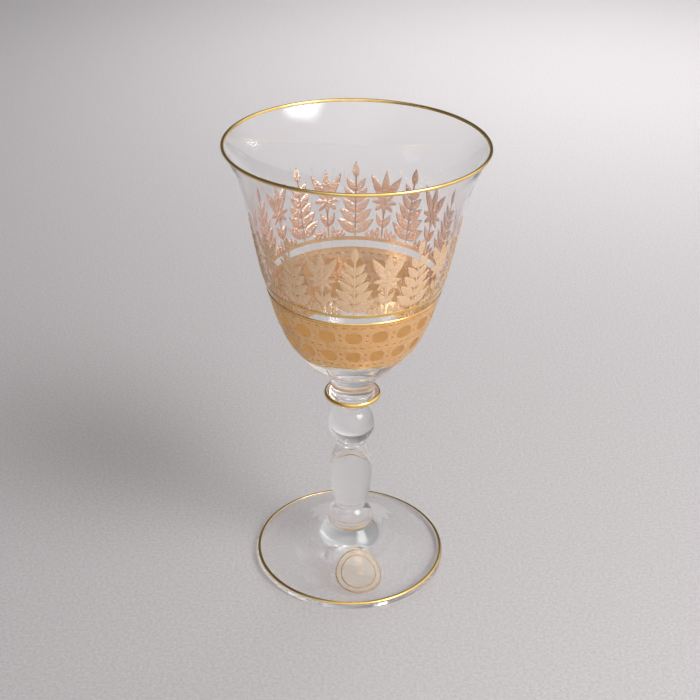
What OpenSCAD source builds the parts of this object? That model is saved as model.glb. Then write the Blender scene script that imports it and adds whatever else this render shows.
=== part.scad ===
// Stemmed juice goblet of clear glass with fired gold bands.
// It stands on the plane z = 0, its axis is the z axis, and its front is towards -y.
// The glass is made of six gathers fused seat on seat. Each gold band is a thin skin
// that follows the glass it lies on. Lengths are in millimetres, angles in degrees.

/* [Foot] */
// Radius of the foot at its edge
foot_r = 35.5; // [32:0.5:42]
// Thickness of the foot at its edge
foot_edge = 2.8; // [2.2:0.1:4]
// Height of the seat in the middle of the foot
foot_h = 14.5; // [13:0.1:18]
// Radius of that seat
foot_seat_r = 8.5; // [7:0.05:8.6]
// Radius at which the raised middle runs out into the plate
foot_rise_r = 14; // [12:0.5:17]
// Height of that place above the foot's edge
foot_rise_h = 7.2; // [5:0.1:8]
// Width of the flat ring that the goblet stands on
foot_rest_w = 5; // [3:0.5:8]
// Depth of the hollow under the foot
foot_hollow = 2.4; // [1:0.1:3]

/* [Stem] */
// Height of the base knop
base_knop_h = 7.7; // [6:0.1:10]
// Greatest radius of the base knop
base_knop_r = 8.6; // [8.6:0.1:11]
// Height of that radius above the foot's seat
base_knop_mid = 1.1; // [0.6:0.1:3]
// Radius of the waist between base knop and baluster
lower_waist_r = 5.5; // [4.5:0.1:6.5]
// Height of the baluster
baluster_h = 28.9; // [24:0.1:36]
// Greatest radius of the baluster
baluster_r = 8; // [7:0.1:11]
// Height of that radius above the lower waist
baluster_mid = 14.8; // [10:0.1:18]
// Radius of the baluster's neck
baluster_neck_r = 5.35; // [5:0.05:6.5]
// Height of the round shoulder over that neck
shoulder_h = 1.1; // [0.6:0.1:1.6]
// Radius of the waist between baluster and ball knop
upper_waist_r = 4; // [3.4:0.1:4.6]
// Height of the ball knop
ball_h = 14.8; // [13:0.1:17]
// Greatest radius of the ball knop
ball_r = 8.58; // [8:0.02:10]
// Height of that radius above the upper waist
ball_mid = 7.6; // [6:0.1:8.5]
// Radius of the seat on top of the ball knop
ball_seat_r = 4.65; // [4:0.05:6]
// Height of the collar
collar_h = 8.1; // [7:0.1:10]
// Radius of the collar at its edge
collar_r = 10.2; // [9.6:0.1:12]
// Thickness of the collar at its edge
collar_edge = 1.8; // [1.4:0.1:2.6]
// Height of the middle of that edge above the ball knop
collar_mid_h = 5.1; // [4:0.1:5.4]

/* [Bowl] */
// Height of the bowl from the collar to the lip
bowl_h = 91.6; // [84:0.1:105]
// Radius of the lip
lip_r = 43.9; // [40:0.1:48]
// Lean of the wall at the lip
lip_lean = 31.4; // [22:0.1:42]
// Length over which the lip flares
lip_flare = 17.5; // [12:0.5:20]
// Radius where the belly turns into the side wall
belly_r = 29.95; // [28:0.05:32]
// Height of that turn above the collar
belly_h = 41; // [38:0.1:43]
// Lean of the wall at that turn
belly_lean = 17; // [12:0.1:20]
// Radius of the neck where the bowl seats on the collar
neck_r = 7.6; // [6.8:0.1:8.4]
// Height of the neck
neck_h = 5.2; // [4:0.1:7]
// Radius at the top of the neck
neck_top_r = 9.75; // [9:0.05:11]
// Lean of the wall where it leaves the neck
neck_lean = 47.6; // [40:0.1:54]
// Thickness of the side wall
bowl_wall = 0.9; // [0.8:0.05:1.4]
// Thickness of the floor, down to the collar
floor_h = 9.8; // [8:0.1:14]

/* [Gilding] */
// Thickness of the fired gold
gold_t = 0.12; // [0.08:0.01:0.2]
// Depth of the gold cap outside the lip
lip_line_w = 0.6; // [0.4:0.1:2]
// Depth of the gold cap inside the lip
lip_inner_w = 0.3; // [0.2:0.1:1.5]
// Distance of the gold line on the foot from its edge
foot_line_edge = 0.25; // [0.15:0.05:0.8]
// Width of that line
foot_line_w = 1.05; // [0.6:0.05:1.6]

/* [Frieze] */
// Width of clear glass between the cane band's upper line and the frieze's line
clear_line_w = 2.4; // [1:0.1:3.2]
// Width of the gold line under the frieze
frieze_ring_w = 1.3; // [0.8:0.1:2.5]
// Thickness of the raised frieze
frieze_t = 0.16; // [0.1:0.01:0.25]
// Number of leaf sprigs round the bowl, with as many rosettes between them
sprig_count = 10; // [7:1:10]
// Height of a sprig
sprig_h = 26.5; // [22:0.5:32]
// Length of a sprig's longest leaf
sprig_leaf = 8.5; // [6:0.1:9]
// Width of a sprig's widest leaf
sprig_leaf_w = 3.6; // [2:0.1:3.8]
// Length of the leaf at a sprig's tip
tip_leaf = 6; // [4:0.1:7]
// Width of that leaf
tip_leaf_w = 2.6; // [1.5:0.1:3]
// Height of a sprig's lowest pair of leaves
first_leaf_h = 1.3; // [0.8:0.1:2]
// Lean of that pair
first_leaf_lean = 52; // [40:1:60]
// Pairs of leaves on a sprig
sprig_pairs = 5; // [4:1:6]
// Width of the stems
stalk_w = 0.7; // [0.5:0.1:1.2]
// Radius of a rosette
rosette_r = 4.6; // [3:0.1:4.8]
// Height of a rosette's middle above the line
rosette_h = 13; // [11:0.5:15]
// Number of petals
petal_count = 8; // [5:1:10]
// Length of the three leaves over a rosette, from its middle
crown_leaf = 11; // [8:0.5:12]
// Width of those leaves
crown_leaf_w = 3; // [2:0.1:3.4]
// Lean of the outer two
crown_leaf_lean = 32; // [20:1:36]
// Length of the leaves on a rosette's stem
rosette_leaf = 6; // [4:0.1:6.5]
// Width of the leaves on the stem
rosette_leaf_w = 2.2; // [1:0.1:2.4]
// Height at which they leave the stem
rosette_leaf_h = 3.6; // [3:0.1:4.4]
// Lean of the leaves on the stem
rosette_leaf_lean = 28; // [15:1:30]
// Height of the lowest tongue leaf in the border
tongue_h = 2.4; // [1.5:0.1:2.6]
// Width of a tongue leaf
tongue_w = 1.8; // [1:0.1:1.9]
// Growth from one tongue leaf to the next
tongue_growth = 0.8; // [0.3:0.1:0.9]

/* [Cane band] */
// Height of the lower edge of the cane band, above the collar
cane_z = 20.6; // [19.5:0.1:23]
// Height of the cane band
cane_h = 19.3; // [17:0.1:21]
// Number of columns of large openings
cane_columns = 20; // [14:1:22]
// Height of a large opening
cane_hole_h = 4.7; // [3.6:0.1:5.4]
// Width of a large opening in the upper row
cane_hole_w = 5.5; // [4:0.1:6]
// Width of a cane strand
strand_w = 0.8; // [0.5:0.05:1.1]
// Height of the short slots between two strands
slot_h = 0.5; // [0.3:0.05:0.8]
// Width of those slots
slot_w = 1.5; // [0.8:0.1:1.8]
// Size of the small openings beside a crossing
cane_eye = 1; // [0.6:0.1:1.3]
// Height of the raised webbing above its ground
web_t = 0.14; // [0.08:0.01:0.25]
// Width of the gold line over the band
cane_top_w = 1; // [0.5:0.1:1.6]
// Width of the gold line under the band
cane_bottom_w = 1.2; // [0.5:0.1:2]

/* [Seal] */
// Diameter of the round seal on the foot
seal_d = 17.4; // [12:0.1:18]
// Thickness of its film
seal_t = 0.1; // [0.06:0.01:0.2]
// Distance of its middle from the edge of the foot
seal_inset = 13.5; // [12:0.1:14]
// Turn of its middle round the axis, from the front
seal_angle = 9; // [-60:1:60]
// Width of a printed ring
seal_ring_w = 0.4; // [0.3:0.05:0.8]
// Bare margin outside the outer printed ring
seal_margin = 0.3; // [0.2:0.1:1]
// Bare band between the two printed rings
seal_band_w = 1.5; // [0.5:0.1:2]

/* [Hidden] */
$fn = 96;

// Steps along a curve of the glass
steps = 12;
edge_steps = 5;
lip_steps = 6;
clear_glass = [0.86, 0.88, 0.90, 0.35];
bright_gold = [0.86, 0.68, 0.27];
satin_gold = [0.84, 0.60, 0.30];
film = [0.95, 0.95, 0.93, 0.5];

// Heights of the seats, from the table up
base_knop_z = foot_h;
baluster_z = base_knop_z + base_knop_h;
ball_z = baluster_z + baluster_h;
collar_z = ball_z + ball_h;
bowl_z = collar_z + collar_h;
lip_z = bowl_z + bowl_h;

// A cubic curve from a to d, drawn towards b and c, in n steps
function on_curve(a, b, c, d, t) =
    pow(1 - t, 3) * a + 3 * pow(1 - t, 2) * t * b + 3 * (1 - t) * t * t * c + pow(t, 3) * d;
function curve(a, b, c, d, n = steps) = [for (i = [0:n]) on_curve(a, b, c, d, i / n)];
// The point that lies a length away from p, leaning outwards by an angle from upright
function leaning(p, angle, length) = p + length * [sin(angle), cos(angle)];
function after_first(list) = [for (i = [1:len(list) - 1]) list[i]];
function reversed(list) = [for (i = [len(list) - 1:-1:0]) list[i]];
function moved(list, by) = [for (p = list) p + by];

// A swelling between two waists: two curves that meet upright at the greatest radius
function swelling(low, mid, high, low_full, high_full) =
    let (below = mid.y - low.y, above = high.y - mid.y)
    concat(curve(low, low + below * [low_full[0], low_full[1]], mid - [0, low_full[2] * below], mid),
           after_first(curve(mid, mid + [0, high_full[2] * above],
                             high + above * [high_full[0], -high_full[1]], high)));
// Fullness under and over the greatest radius, as shares of the height to the waist:
// drawn outwards at the waist, upright at the waist, upright at the greatest radius
base_knop_full = [[0.04, 0.33, 0.34], [0.3, 0.25, 0.39]];
baluster_full = [[0.03, 0.16, 0.38], [0, 0.15, 0.6]];
ball_full = [[0.37, 0.195, 0.42], [0.34, 0.22, 0.4]];

// Outside of the bowl from the neck to the lip
neck_top = [neck_top_r, bowl_z + neck_h];
belly = [belly_r, bowl_z + belly_h];
lip = [lip_r - gold_t, lip_z - bowl_wall / 2 - gold_t];
seat_draw = 3.1;
turn_draw = 2;
neck_draw = 21.8;
belly_draw = 11.8;
side_draw = 20.3;
bowl_outside = concat(
    curve([neck_r, bowl_z], [neck_r, bowl_z + seat_draw],
          leaning(neck_top, neck_lean, -turn_draw), neck_top, edge_steps),
    after_first(curve(neck_top, leaning(neck_top, neck_lean, neck_draw),
                      leaning(belly, belly_lean, -belly_draw), belly)),
    after_first(curve(belly, leaning(belly, belly_lean, side_draw),
                      leaning(lip, lip_lean, -lip_flare), lip)));

// Inside of the bowl from the lip to the middle of the floor
inner_draw = 16;
floor_draw = 15.5;
inner_belly = belly - [bowl_wall, 0];
floor_middle = [0, bowl_z + floor_h];
side_inside = moved(curve(belly, leaning(belly, belly_lean, side_draw),
                          leaning(lip, lip_lean, -lip_flare), lip), [-bowl_wall, 0]);
bowl_inside = concat(
    reversed(side_inside),
    after_first(curve(inner_belly, leaning(inner_belly, belly_lean, -inner_draw),
                      floor_middle + [floor_draw, 0], floor_middle)));

// The rounded edge of the lip, from outside to inside
lip_middle = lip - [bowl_wall / 2, 0];
lip_round = [for (i = [1:lip_steps - 1])
             lip_middle + bowl_wall / 2 * [cos(180 * i / lip_steps), sin(180 * i / lip_steps)]];

// Radius of a wall, given as a list of points, at a height
function radius_at(line, z) = lookup(z, [for (p = line) [p.y, p.x]]);
// The stretch of an upward wall line between two heights
function stretch(line, z1, z2) =
    concat([[radius_at(line, z1), z1]],
           [for (p = line) if (p.y > z1 && p.y < z2) p],
           [[radius_at(line, z2), z2]]);

// A skin on the outside of the bowl between two heights, starting at lift above the glass
module bowl_skin(z1, z2, thickness, lift = 0) {
    face = stretch(bowl_outside, z1, z2);
    rotate_extrude()
        polygon(concat(moved(face, [lift, 0]), reversed(moved(face, [lift + thickness, 0]))));
}

// Sends a flat outline outwards through the wall of the bowl, with its origin at a height,
// from a depth inside the face of the glass to a reach outside it
module through_wall(turn, z, depth, reach) {
    rotate([0, 0, turn])
        translate([0, depth - radius_at(bowl_outside, z), z])
            rotate([90, 0, 0])
                linear_extrude(height = depth + reach)
                    children();
}

// A pointed leaf that stands on the origin, widest below its middle
leaf_steps = 5;
leaf_belly = 0.8;
module leaf(length, width) {
    half = [for (i = [1:leaf_steps - 1])
            [width / 2 * sin(180 * pow(i / leaf_steps, leaf_belly)), length * i / leaf_steps]];
    polygon(concat([[0, 0]], half, [[0, length]], [for (p = reversed(half)) [-p.x, p.y]]));
}

// A straight stem that starts below the frieze, where the frieze's line cuts it off
module stalk(height) {
    translate([-stalk_w / 2, -frieze_sink])
        square([stalk_w, height + frieze_sink]);
}

// An upright sprig with pairs of leaves that get shorter and steeper towards the tip
leaf_taper = 0.38;
leaf_lean_step = 4;
module sprig() {
    rise = (sprig_h - sprig_leaf) / sprig_pairs;
    stalk(sprig_h - tip_leaf / 2);
    for (i = [0:sprig_pairs - 1], side = [-1, 1])
        let (size = 1 - leaf_taper * i / sprig_pairs)
            translate([0, first_leaf_h + rise * i])
                rotate(side * (first_leaf_lean - leaf_lean_step * i))
                    leaf(sprig_leaf * size, sprig_leaf_w * size);
    translate([0, sprig_h - tip_leaf])
        leaf(tip_leaf, tip_leaf_w);
}

// A flower outline: the radius swings once for each petal, by a share of it to both sides
petal_swing = 0.22;
petal_steps = 4;
module flower() {
    points = petal_count * petal_steps;
    function petal_r(i) = rosette_r * (1 - petal_swing + petal_swing * cos(360 * i / petal_steps));
    polygon([for (i = [0:points - 1]) petal_r(i) * [sin(360 * i / points), cos(360 * i / points)]]);
}

// A rosette on a stem with two leaves near its foot and three leaves over it
module rosette() {
    stalk(rosette_h);
    translate([0, rosette_h])
        flower();
    for (side = [-1, 1])
        translate([0, rosette_leaf_h])
            rotate(side * rosette_leaf_lean)
                leaf(rosette_leaf, rosette_leaf_w);
    for (lean = [-1:1])
        translate([0, rosette_h])
            rotate(lean * crown_leaf_lean)
                leaf(crown_leaf, crown_leaf_w);
}

// Heights of the bands on the bowl
cane_low = bowl_z + cane_z;
cane_high = cane_low + cane_h;
frieze_low = cane_high + cane_top_w + clear_line_w;
frieze_base = frieze_low + frieze_ring_w;
// Reach of a frieze outline inside and outside the wall at the foot of the frieze
frieze_depth = 1.5;
frieze_reach = lip_r - belly_r;
// Part of each stem and tongue leaf that the line under the frieze cuts off
frieze_sink = 0.6;
sprig_turn = 360 / sprig_count;

// The skin that the frieze is cut from
module frieze_skin() {
    bowl_skin(frieze_base, lip.y - lip_line_w, frieze_t);
}

// The webbing: two rows of large openings with double strands above, between and below
column_turn = 360 / cane_columns;
double_strand = 2 * strand_w + slot_h;
cane_row_h = (cane_h - 3 * double_strand) / 2;
cane_rows = [cane_low + double_strand + cane_row_h / 2, cane_high - double_strand - cane_row_h / 2];
slot_rows = [cane_low + strand_w, cane_low + double_strand + cane_row_h + strand_w,
             cane_high - strand_w - slot_h];
// Reach of a cut on both sides of the wall, past its slope over half the height of an opening
cane_depth = cane_hole_h / 2 + web_t + gold_t;

// How much narrower a column is at a height than in the upper row
function column_share(z) = radius_at(bowl_outside, z) / radius_at(bowl_outside, cane_rows[1]);

// A large opening: eight-sided, because slanting strands cut off its corners
module large_opening(share) {
    half_side = 180 / 8;
    polygon([for (a = [half_side:2 * half_side:360])
             [share * cane_hole_w * cos(a), cane_hole_h * sin(a)] / (2 * cos(half_side))]);
}

// A small three-cornered opening beside a crossing, pointing up or down
module small_opening(share, up) {
    polygon([[-share * cane_eye / 2, 0], [share * cane_eye / 2, 0], [0, up * cane_eye]]);
}

// The openings of one column, which lie between the strands
module column_openings(turn) {
    for (z = cane_rows) {
        through_wall(turn, z, cane_depth, cane_depth)
            large_opening(column_share(z));
        for (up = [-1, 1])
            through_wall(turn + column_turn / 2, z + up * strand_w, cane_depth, cane_depth)
                small_opening(column_share(z), up);
    }
    for (z = slot_rows, third = [-1:1])
        through_wall(turn + third * column_turn / 3, z, cane_depth, cane_depth)
            translate([-column_share(z) * slot_w / 2, 0])
                square([column_share(z) * slot_w, slot_h]);
}

// Top of the foot from its edge to its seat
edge_round = 0.9;
edge_draw = 0.5;
plate_lean = 82;
plate_draw = 8;
rise_lean = 62;
rise_low_draw = 8;
rise_high_draw = 2.3;
foot_seat_lean = 42;
foot_seat_draw = 2.2;
foot_plate = [foot_r - edge_round, foot_edge];
foot_rise = [foot_rise_r, foot_edge + foot_rise_h];
foot_seat = [foot_seat_r, foot_h];
foot_top = concat(
    curve([foot_r, foot_edge - edge_round], [foot_r, foot_edge - edge_round + edge_draw],
          foot_plate + [edge_draw, 0], foot_plate, edge_steps),
    after_first(curve(foot_plate, leaning(foot_plate, -plate_lean, plate_draw),
                      leaning(foot_rise, -rise_lean, -rise_low_draw), foot_rise)),
    after_first(curve(foot_rise, leaning(foot_rise, -rise_lean, rise_high_draw),
                      leaning(foot_seat, -foot_seat_lean, -foot_seat_draw), foot_seat)));

// The hollow under the foot, from the ring it stands on to the axis
rest_in = foot_r - edge_round - foot_rest_w;
hollow_slope = 8;
hollow_flat = 10;
foot_under = curve([rest_in, 0], [rest_in - hollow_slope, foot_hollow / 2],
                   [hollow_flat, foot_hollow], [0, foot_hollow]);

// A skin on the upper side of the foot between two radii, starting at lift above the glass
module foot_skin(r1, r2, thickness, lift = 0) {
    face = [for (p = reversed(foot_top)) [p.y, p.x]];
    line = [for (p = stretch(face, r1, r2)) [p.y, p.x]];
    rotate_extrude()
        polygon(concat(moved(line, [0, lift]), reversed(moved(line, [0, lift + thickness]))));
}

// Puts children upright over the middle of the seal
module at_seal() {
    rotate([0, 0, seal_angle])
        translate([0, seal_inset - foot_r, 0])
            children();
}

module foot() {
    color(clear_glass)
        rotate_extrude()
            polygon(concat([[foot_r - edge_round, 0], [foot_r, edge_round]], foot_top, [[0, foot_h]],
                           reversed(foot_under)));
}

module base_knop() {
    color(clear_glass)
        rotate_extrude()
            polygon(concat([[0, base_knop_z]],
                           swelling([foot_seat_r, base_knop_z],
                                    [base_knop_r, base_knop_z + base_knop_mid],
                                    [lower_waist_r, baluster_z], base_knop_full[0], base_knop_full[1]),
                           [[0, baluster_z]]));
}

module baluster() {
    neck = [baluster_neck_r, ball_z - shoulder_h];
    waist = [upper_waist_r, ball_z];
    color(clear_glass)
        rotate_extrude()
            polygon(concat([[0, baluster_z]],
                           swelling([lower_waist_r, baluster_z],
                                    [baluster_r, baluster_z + baluster_mid],
                                    neck, baluster_full[0], baluster_full[1]),
                           after_first(curve(neck, neck + [0, shoulder_h / 2],
                                             waist + [shoulder_h / 2, 0], waist, edge_steps)),
                           [[0, ball_z]]));
}

module ball_knop() {
    color(clear_glass)
        rotate_extrude()
            polygon(concat([[0, ball_z]],
                           swelling([upper_waist_r, ball_z], [ball_r, ball_z + ball_mid],
                                    [ball_seat_r, collar_z], ball_full[0], ball_full[1]),
                           [[0, collar_z]]));
}

// The round edge of the collar from below to above, at a distance from its middle
collar_middle = [collar_r - gold_t - collar_edge / 2, collar_z + collar_mid_h];
collar_steps = 12;
function collar_round(away, skip = 0) = [for (i = [skip:collar_steps - skip])
    collar_middle + away * [sin(180 * i / collar_steps), -cos(180 * i / collar_steps)]];
// Lean of the collar's faces at its lower seat, under its edge and over its edge
collar_leans = [22, 66, 67];
collar_draw = 1.7;
collar_top_draw = 1.3;

module collar() {
    seat = [ball_seat_r, collar_z];
    edge = collar_round(collar_edge / 2);
    high = edge[collar_steps];
    neck = [neck_r, bowl_z];
    color(clear_glass)
        rotate_extrude()
            polygon(concat([[0, collar_z]],
                           curve(seat, leaning(seat, collar_leans[0], collar_draw),
                                 leaning(edge[0], collar_leans[1], -collar_draw), edge[0], edge_steps),
                           after_first(edge),
                           after_first(curve(high, leaning(high, -collar_leans[2], collar_top_draw),
                                             neck - [0, collar_top_draw], neck, edge_steps)),
                           [[0, bowl_z]]));
}

module bowl() {
    color(clear_glass)
        rotate_extrude()
            polygon(concat([[0, bowl_z]], bowl_outside, lip_round, bowl_inside));
}

module lip_gilding() {
    outer = stretch(bowl_outside, lip.y - lip_line_w, lip.y);
    inner = reversed(stretch(side_inside, lip.y - lip_inner_w, lip.y));
    seat = concat(outer, lip_round, inner);
    grown = [for (p = lip_round) lip_middle + (p - lip_middle) * (1 + 2 * gold_t / bowl_wall)];
    color(bright_gold)
        rotate_extrude()
            polygon(concat(seat, reversed(concat(moved(outer, [gold_t, 0]), grown,
                                                 moved(inner, [-gold_t, 0])))));
}

module frieze_sprigs() {
    color(satin_gold)
        intersection() {
            frieze_skin();
            for (i = [0:sprig_count - 1])
                through_wall(i * sprig_turn, frieze_base, frieze_depth, frieze_reach)
                    sprig();
        }
}

module frieze_rosettes() {
    color(satin_gold)
        intersection() {
            frieze_skin();
            for (i = [0:sprig_count - 1])
                through_wall((i + 0.5) * sprig_turn, frieze_base, frieze_depth, frieze_reach)
                    rosette();
        }
}

// Tongue leaves in the corners under the lowest leaves, taller towards the rosettes.
// Their places are shares of the way from one sprig to the next
tongue_places = [0.235, 0.325, 0.415];
module frieze_border() {
    color(satin_gold)
        intersection() {
            frieze_skin();
            for (i = [0:sprig_count - 1], side = [-1, 1], step = [0:len(tongue_places) - 1])
                through_wall((i + side * tongue_places[step]) * sprig_turn, frieze_base - frieze_sink,
                             frieze_depth, frieze_reach)
                    leaf(tongue_h + tongue_growth * step + frieze_sink, tongue_w);
        }
}

module frieze_ring() {
    color(bright_gold)
        bowl_skin(frieze_low, frieze_base, gold_t);
}

module cane_top_ring() {
    color(bright_gold)
        bowl_skin(cane_high, cane_high + cane_top_w, gold_t + web_t);
}

module cane_ground() {
    color(satin_gold)
        bowl_skin(cane_low, cane_high, gold_t);
}

module cane_web() {
    color(bright_gold)
        difference() {
            bowl_skin(cane_low, cane_high, web_t, gold_t);
            for (i = [0:cane_columns - 1])
                column_openings(i * column_turn);
        }
}

module cane_bottom_ring() {
    color(bright_gold)
        bowl_skin(cane_low - cane_bottom_w, cane_low, gold_t + web_t);
}

// The gold covers the round edge of the collar but for its first and last step
module collar_gilding() {
    color(bright_gold)
        rotate_extrude()
            polygon(concat(collar_round(collar_edge / 2, 1),
                           reversed(collar_round(collar_edge / 2 + gold_t, 1))));
}

module foot_gilding() {
    color(bright_gold)
        foot_skin(foot_r - foot_line_edge - foot_line_w, foot_r - foot_line_edge, gold_t);
}

module foot_seal() {
    color(film)
        intersection() {
            foot_skin(foot_seat_r, foot_r - edge_round, seal_t);
            at_seal()
                cylinder(h = foot_h, d = seal_d);
        }
}

module seal_rings() {
    outer_d = seal_d - 2 * seal_margin;
    inner_d = outer_d - 2 * seal_ring_w - 2 * seal_band_w;
    color(bright_gold)
        intersection() {
            foot_skin(foot_seat_r, foot_r - edge_round, gold_t, seal_t);
            at_seal()
                for (d = [inner_d, outer_d])
                    difference() {
                        cylinder(h = foot_h, d = d);
                        cylinder(h = 3 * foot_h, d = d - 2 * seal_ring_w, center = true);
                    }
        }
}

foot();
base_knop();
baluster();
ball_knop();
collar();
bowl();
lip_gilding();
frieze_sprigs();
frieze_rosettes();
frieze_border();
frieze_ring();
cane_top_ring();
cane_web();
cane_ground();
cane_bottom_ring();
collar_gilding();
foot_gilding();
foot_seal();
seal_rings();
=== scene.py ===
# %% [markdown]
# # A stemmed juice goblet with fired gold bands
# The goblet is blown and drawn clear glass: a foot, three knops of the stem, a collar and a wide
# bowl, fused seat on seat. Gold is fired on the outside as plain lines, a raised frieze of leaves
# and a band of cane webbing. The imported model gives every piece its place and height. This script
# builds a finer mesh for each piece in that place, gives it a finish and lights it in a studio.
# Sizes are in millimetres, and become metres when a mesh is made. Finishes, lamps and the
# camera's place are in metres from the start, as Blender counts them.

import math

import bmesh
import bpy
import numpy as np
from mathutils import Matrix, Vector
from mathutils.geometry import delaunay_2d_cdt


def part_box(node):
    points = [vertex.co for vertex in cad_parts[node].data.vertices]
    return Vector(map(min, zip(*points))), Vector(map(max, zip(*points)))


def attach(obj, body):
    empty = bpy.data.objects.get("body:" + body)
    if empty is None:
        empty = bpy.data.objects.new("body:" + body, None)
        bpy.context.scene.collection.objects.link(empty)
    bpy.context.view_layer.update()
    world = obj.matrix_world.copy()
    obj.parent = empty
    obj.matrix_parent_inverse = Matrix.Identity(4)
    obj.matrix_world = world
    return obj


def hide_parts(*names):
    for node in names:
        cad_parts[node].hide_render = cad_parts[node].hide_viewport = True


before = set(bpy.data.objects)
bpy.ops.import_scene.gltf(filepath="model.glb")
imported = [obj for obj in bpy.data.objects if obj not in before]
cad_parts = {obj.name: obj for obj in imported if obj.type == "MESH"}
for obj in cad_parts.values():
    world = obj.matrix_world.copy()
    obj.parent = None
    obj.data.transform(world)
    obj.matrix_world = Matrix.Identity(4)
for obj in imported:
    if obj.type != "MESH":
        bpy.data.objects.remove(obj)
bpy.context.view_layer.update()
scene = bpy.context.scene
MM = 0.001


def low(node):
    """Height of a node's lowest point, in millimetres."""
    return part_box(node)[0].z / MM


def high(node):
    """Height of a node's highest point, in millimetres."""
    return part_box(node)[1].z / MM


print("nodes in the frame:", len(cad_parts))
print("goblet height in mm:", round(high("lip_gilding"), 2))

# %% [markdown]
# ## Curves
# Every piece of the glass is round, so each is drawn as half an outline and turned round the
# upright axis. Straight steps would need many measured points. The outlines are cubic curves
# instead, as in a drawing program: two end points and two points that draw the line towards them.
# A lean says how far a line tips outwards from upright, in degrees. A length under TINY counts as
# none.

# %% Curve helpers
TINY = 1e-6


def curve(a, b, c, d, steps=24):
    """Points of a cubic curve from a to d, drawn towards b and c."""
    t = np.linspace(0, 1, steps + 1)[:, None]
    a, b, c, d = (np.array(p, float) for p in (a, b, c, d))
    return (1 - t) ** 3 * a + 3 * (1 - t) ** 2 * t * b + 3 * (1 - t) * t * t * c + t**3 * d


def leaning(p, lean, length):
    """The point a length away from p along a line that leans outwards from upright."""
    angle = math.radians(lean)
    return (p[0] + length * math.sin(angle), p[1] + length * math.cos(angle))


def joined(*lines):
    """One line from several, without the points that are met twice."""
    out = [np.asarray(lines[0], float)]
    for line in lines[1:]:
        line = np.asarray(line, float)
        out.append(line[1:] if np.allclose(line[0], out[-1][-1], atol=TINY) else line)
    return np.concatenate(out)


print("a curve has points:", len(curve((0, 0), (0, 1), (1, 1), (1, 0))))

# %% [markdown]
# ## Outline of the bowl
# The bowl is a tulip: a tight neck over the collar, a round belly, a nearly straight side and a
# lip that flares. Three curves meet smoothly at the top of the neck and at the belly, because they
# share a lean there. The lip lies under its gold, so the gold's thickness comes off its height.

# %% Outside of the bowl
GOLD_T = 0.12
BOWL_WALL = 0.9
LIP_R = 43.78
LIP_LEAN = 31.4
LIP_FLARE = 17.5
SIDE_DRAW = 20.3
BELLY_R = 29.95
BELLY_H = 41
BELLY_LEAN = 17
BELLY_DRAW = 11.8
NECK_R = 7.6
NECK_TOP_R = 9.75
NECK_H = 5.2
NECK_LEAN = 47.6
NECK_DRAW = 21.8
SEAT_DRAW = 3.1
TURN_DRAW = 2
NECK_STEPS = 12
SIDE_STEPS = 56

bowl_z = low("bowl")
lip_edge_z = high("lip_gilding") - GOLD_T - BOWL_WALL / 2
neck_seat = (NECK_R, bowl_z)
neck_top = (NECK_TOP_R, bowl_z + NECK_H)
belly = (BELLY_R, bowl_z + BELLY_H)
lip = (LIP_R, lip_edge_z)

neck_side = curve(neck_seat, (NECK_R, bowl_z + SEAT_DRAW), leaning(neck_top, NECK_LEAN, -TURN_DRAW),
                  neck_top, NECK_STEPS)
belly_side = curve(neck_top, leaning(neck_top, NECK_LEAN, NECK_DRAW),
                   leaning(belly, BELLY_LEAN, -BELLY_DRAW), belly, SIDE_STEPS)
upper_side = curve(belly, leaning(belly, BELLY_LEAN, SIDE_DRAW), leaning(lip, LIP_LEAN, -LIP_FLARE),
                   lip, SIDE_STEPS)
bowl_outside = joined(neck_side, belly_side, upper_side)
print("outside of the bowl, points:", len(bowl_outside))

# %% [markdown]
# The inside runs one wall's thickness within the outside down to the belly. Below it the floor is
# thick, as in glass that was gathered onto a stem, so it has a curve of its own. Half a circle
# joins both sides over the lip, which was melted round in the fire.

# %% Inside and lip of the bowl
INNER_DRAW = 16
FLOOR_H = 9.8
FLOOR_DRAW = 15.5
FLOOR_STEPS = 64
LIP_STEPS = 12

floor_z = bowl_z + FLOOR_H
inner_belly = (BELLY_R - BOWL_WALL, belly[1])
side_inside = upper_side - np.array([BOWL_WALL, 0])
floor_inside = curve(inner_belly, leaning(inner_belly, BELLY_LEAN, -INNER_DRAW), (FLOOR_DRAW, floor_z),
                     (0, floor_z), FLOOR_STEPS)
bowl_inside = joined(side_inside[::-1], floor_inside)

lip_turn = np.linspace(0, math.pi, LIP_STEPS + 1)[1:-1]
lip_round = np.stack([LIP_R - BOWL_WALL / 2 + BOWL_WALL / 2 * np.cos(lip_turn),
                      lip_edge_z + BOWL_WALL / 2 * np.sin(lip_turn)], axis=1)
bowl_outline = joined([(0, bowl_z), neck_seat], bowl_outside, lip_round, bowl_inside)
print("whole bowl, points:", len(bowl_outline))

# %% [markdown]
# ## Outline of the foot
# The foot is a disc that was opened out while it spun. It sweeps up to the stem in one hollow curve
# and has a round edge. It stands on a flat ring and is slightly hollow inside that ring, so that it
# doesn't rock. Drawn as one outline, it closes by itself when it is turned.

# %% Foot outline
FOOT_R = 35.5
FOOT_EDGE = 2.8
EDGE_ROUND = 0.9
EDGE_DRAW = 0.5
EDGE_STEPS = 8
PLATE_LEAN = 82
PLATE_DRAW = 8
PLATE_STEPS = 40
FOOT_RISE = (14, 10)
RISE_LEAN = 62
RISE_DRAW = 2.3
FOOT_SEAT_R = 8.5
FOOT_SEAT_LEAN = 42
FOOT_SEAT_DRAW = 2.2
FOOT_REST_W = 5
FOOT_HOLLOW = 2.4
HOLLOW_DRAW = 8
HOLLOW_FLAT = 10

base_z = low("base_knop")
seat = (FOOT_SEAT_R, base_z)
plate = (FOOT_R - EDGE_ROUND, FOOT_EDGE)
rest_in = plate[0] - FOOT_REST_W

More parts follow.
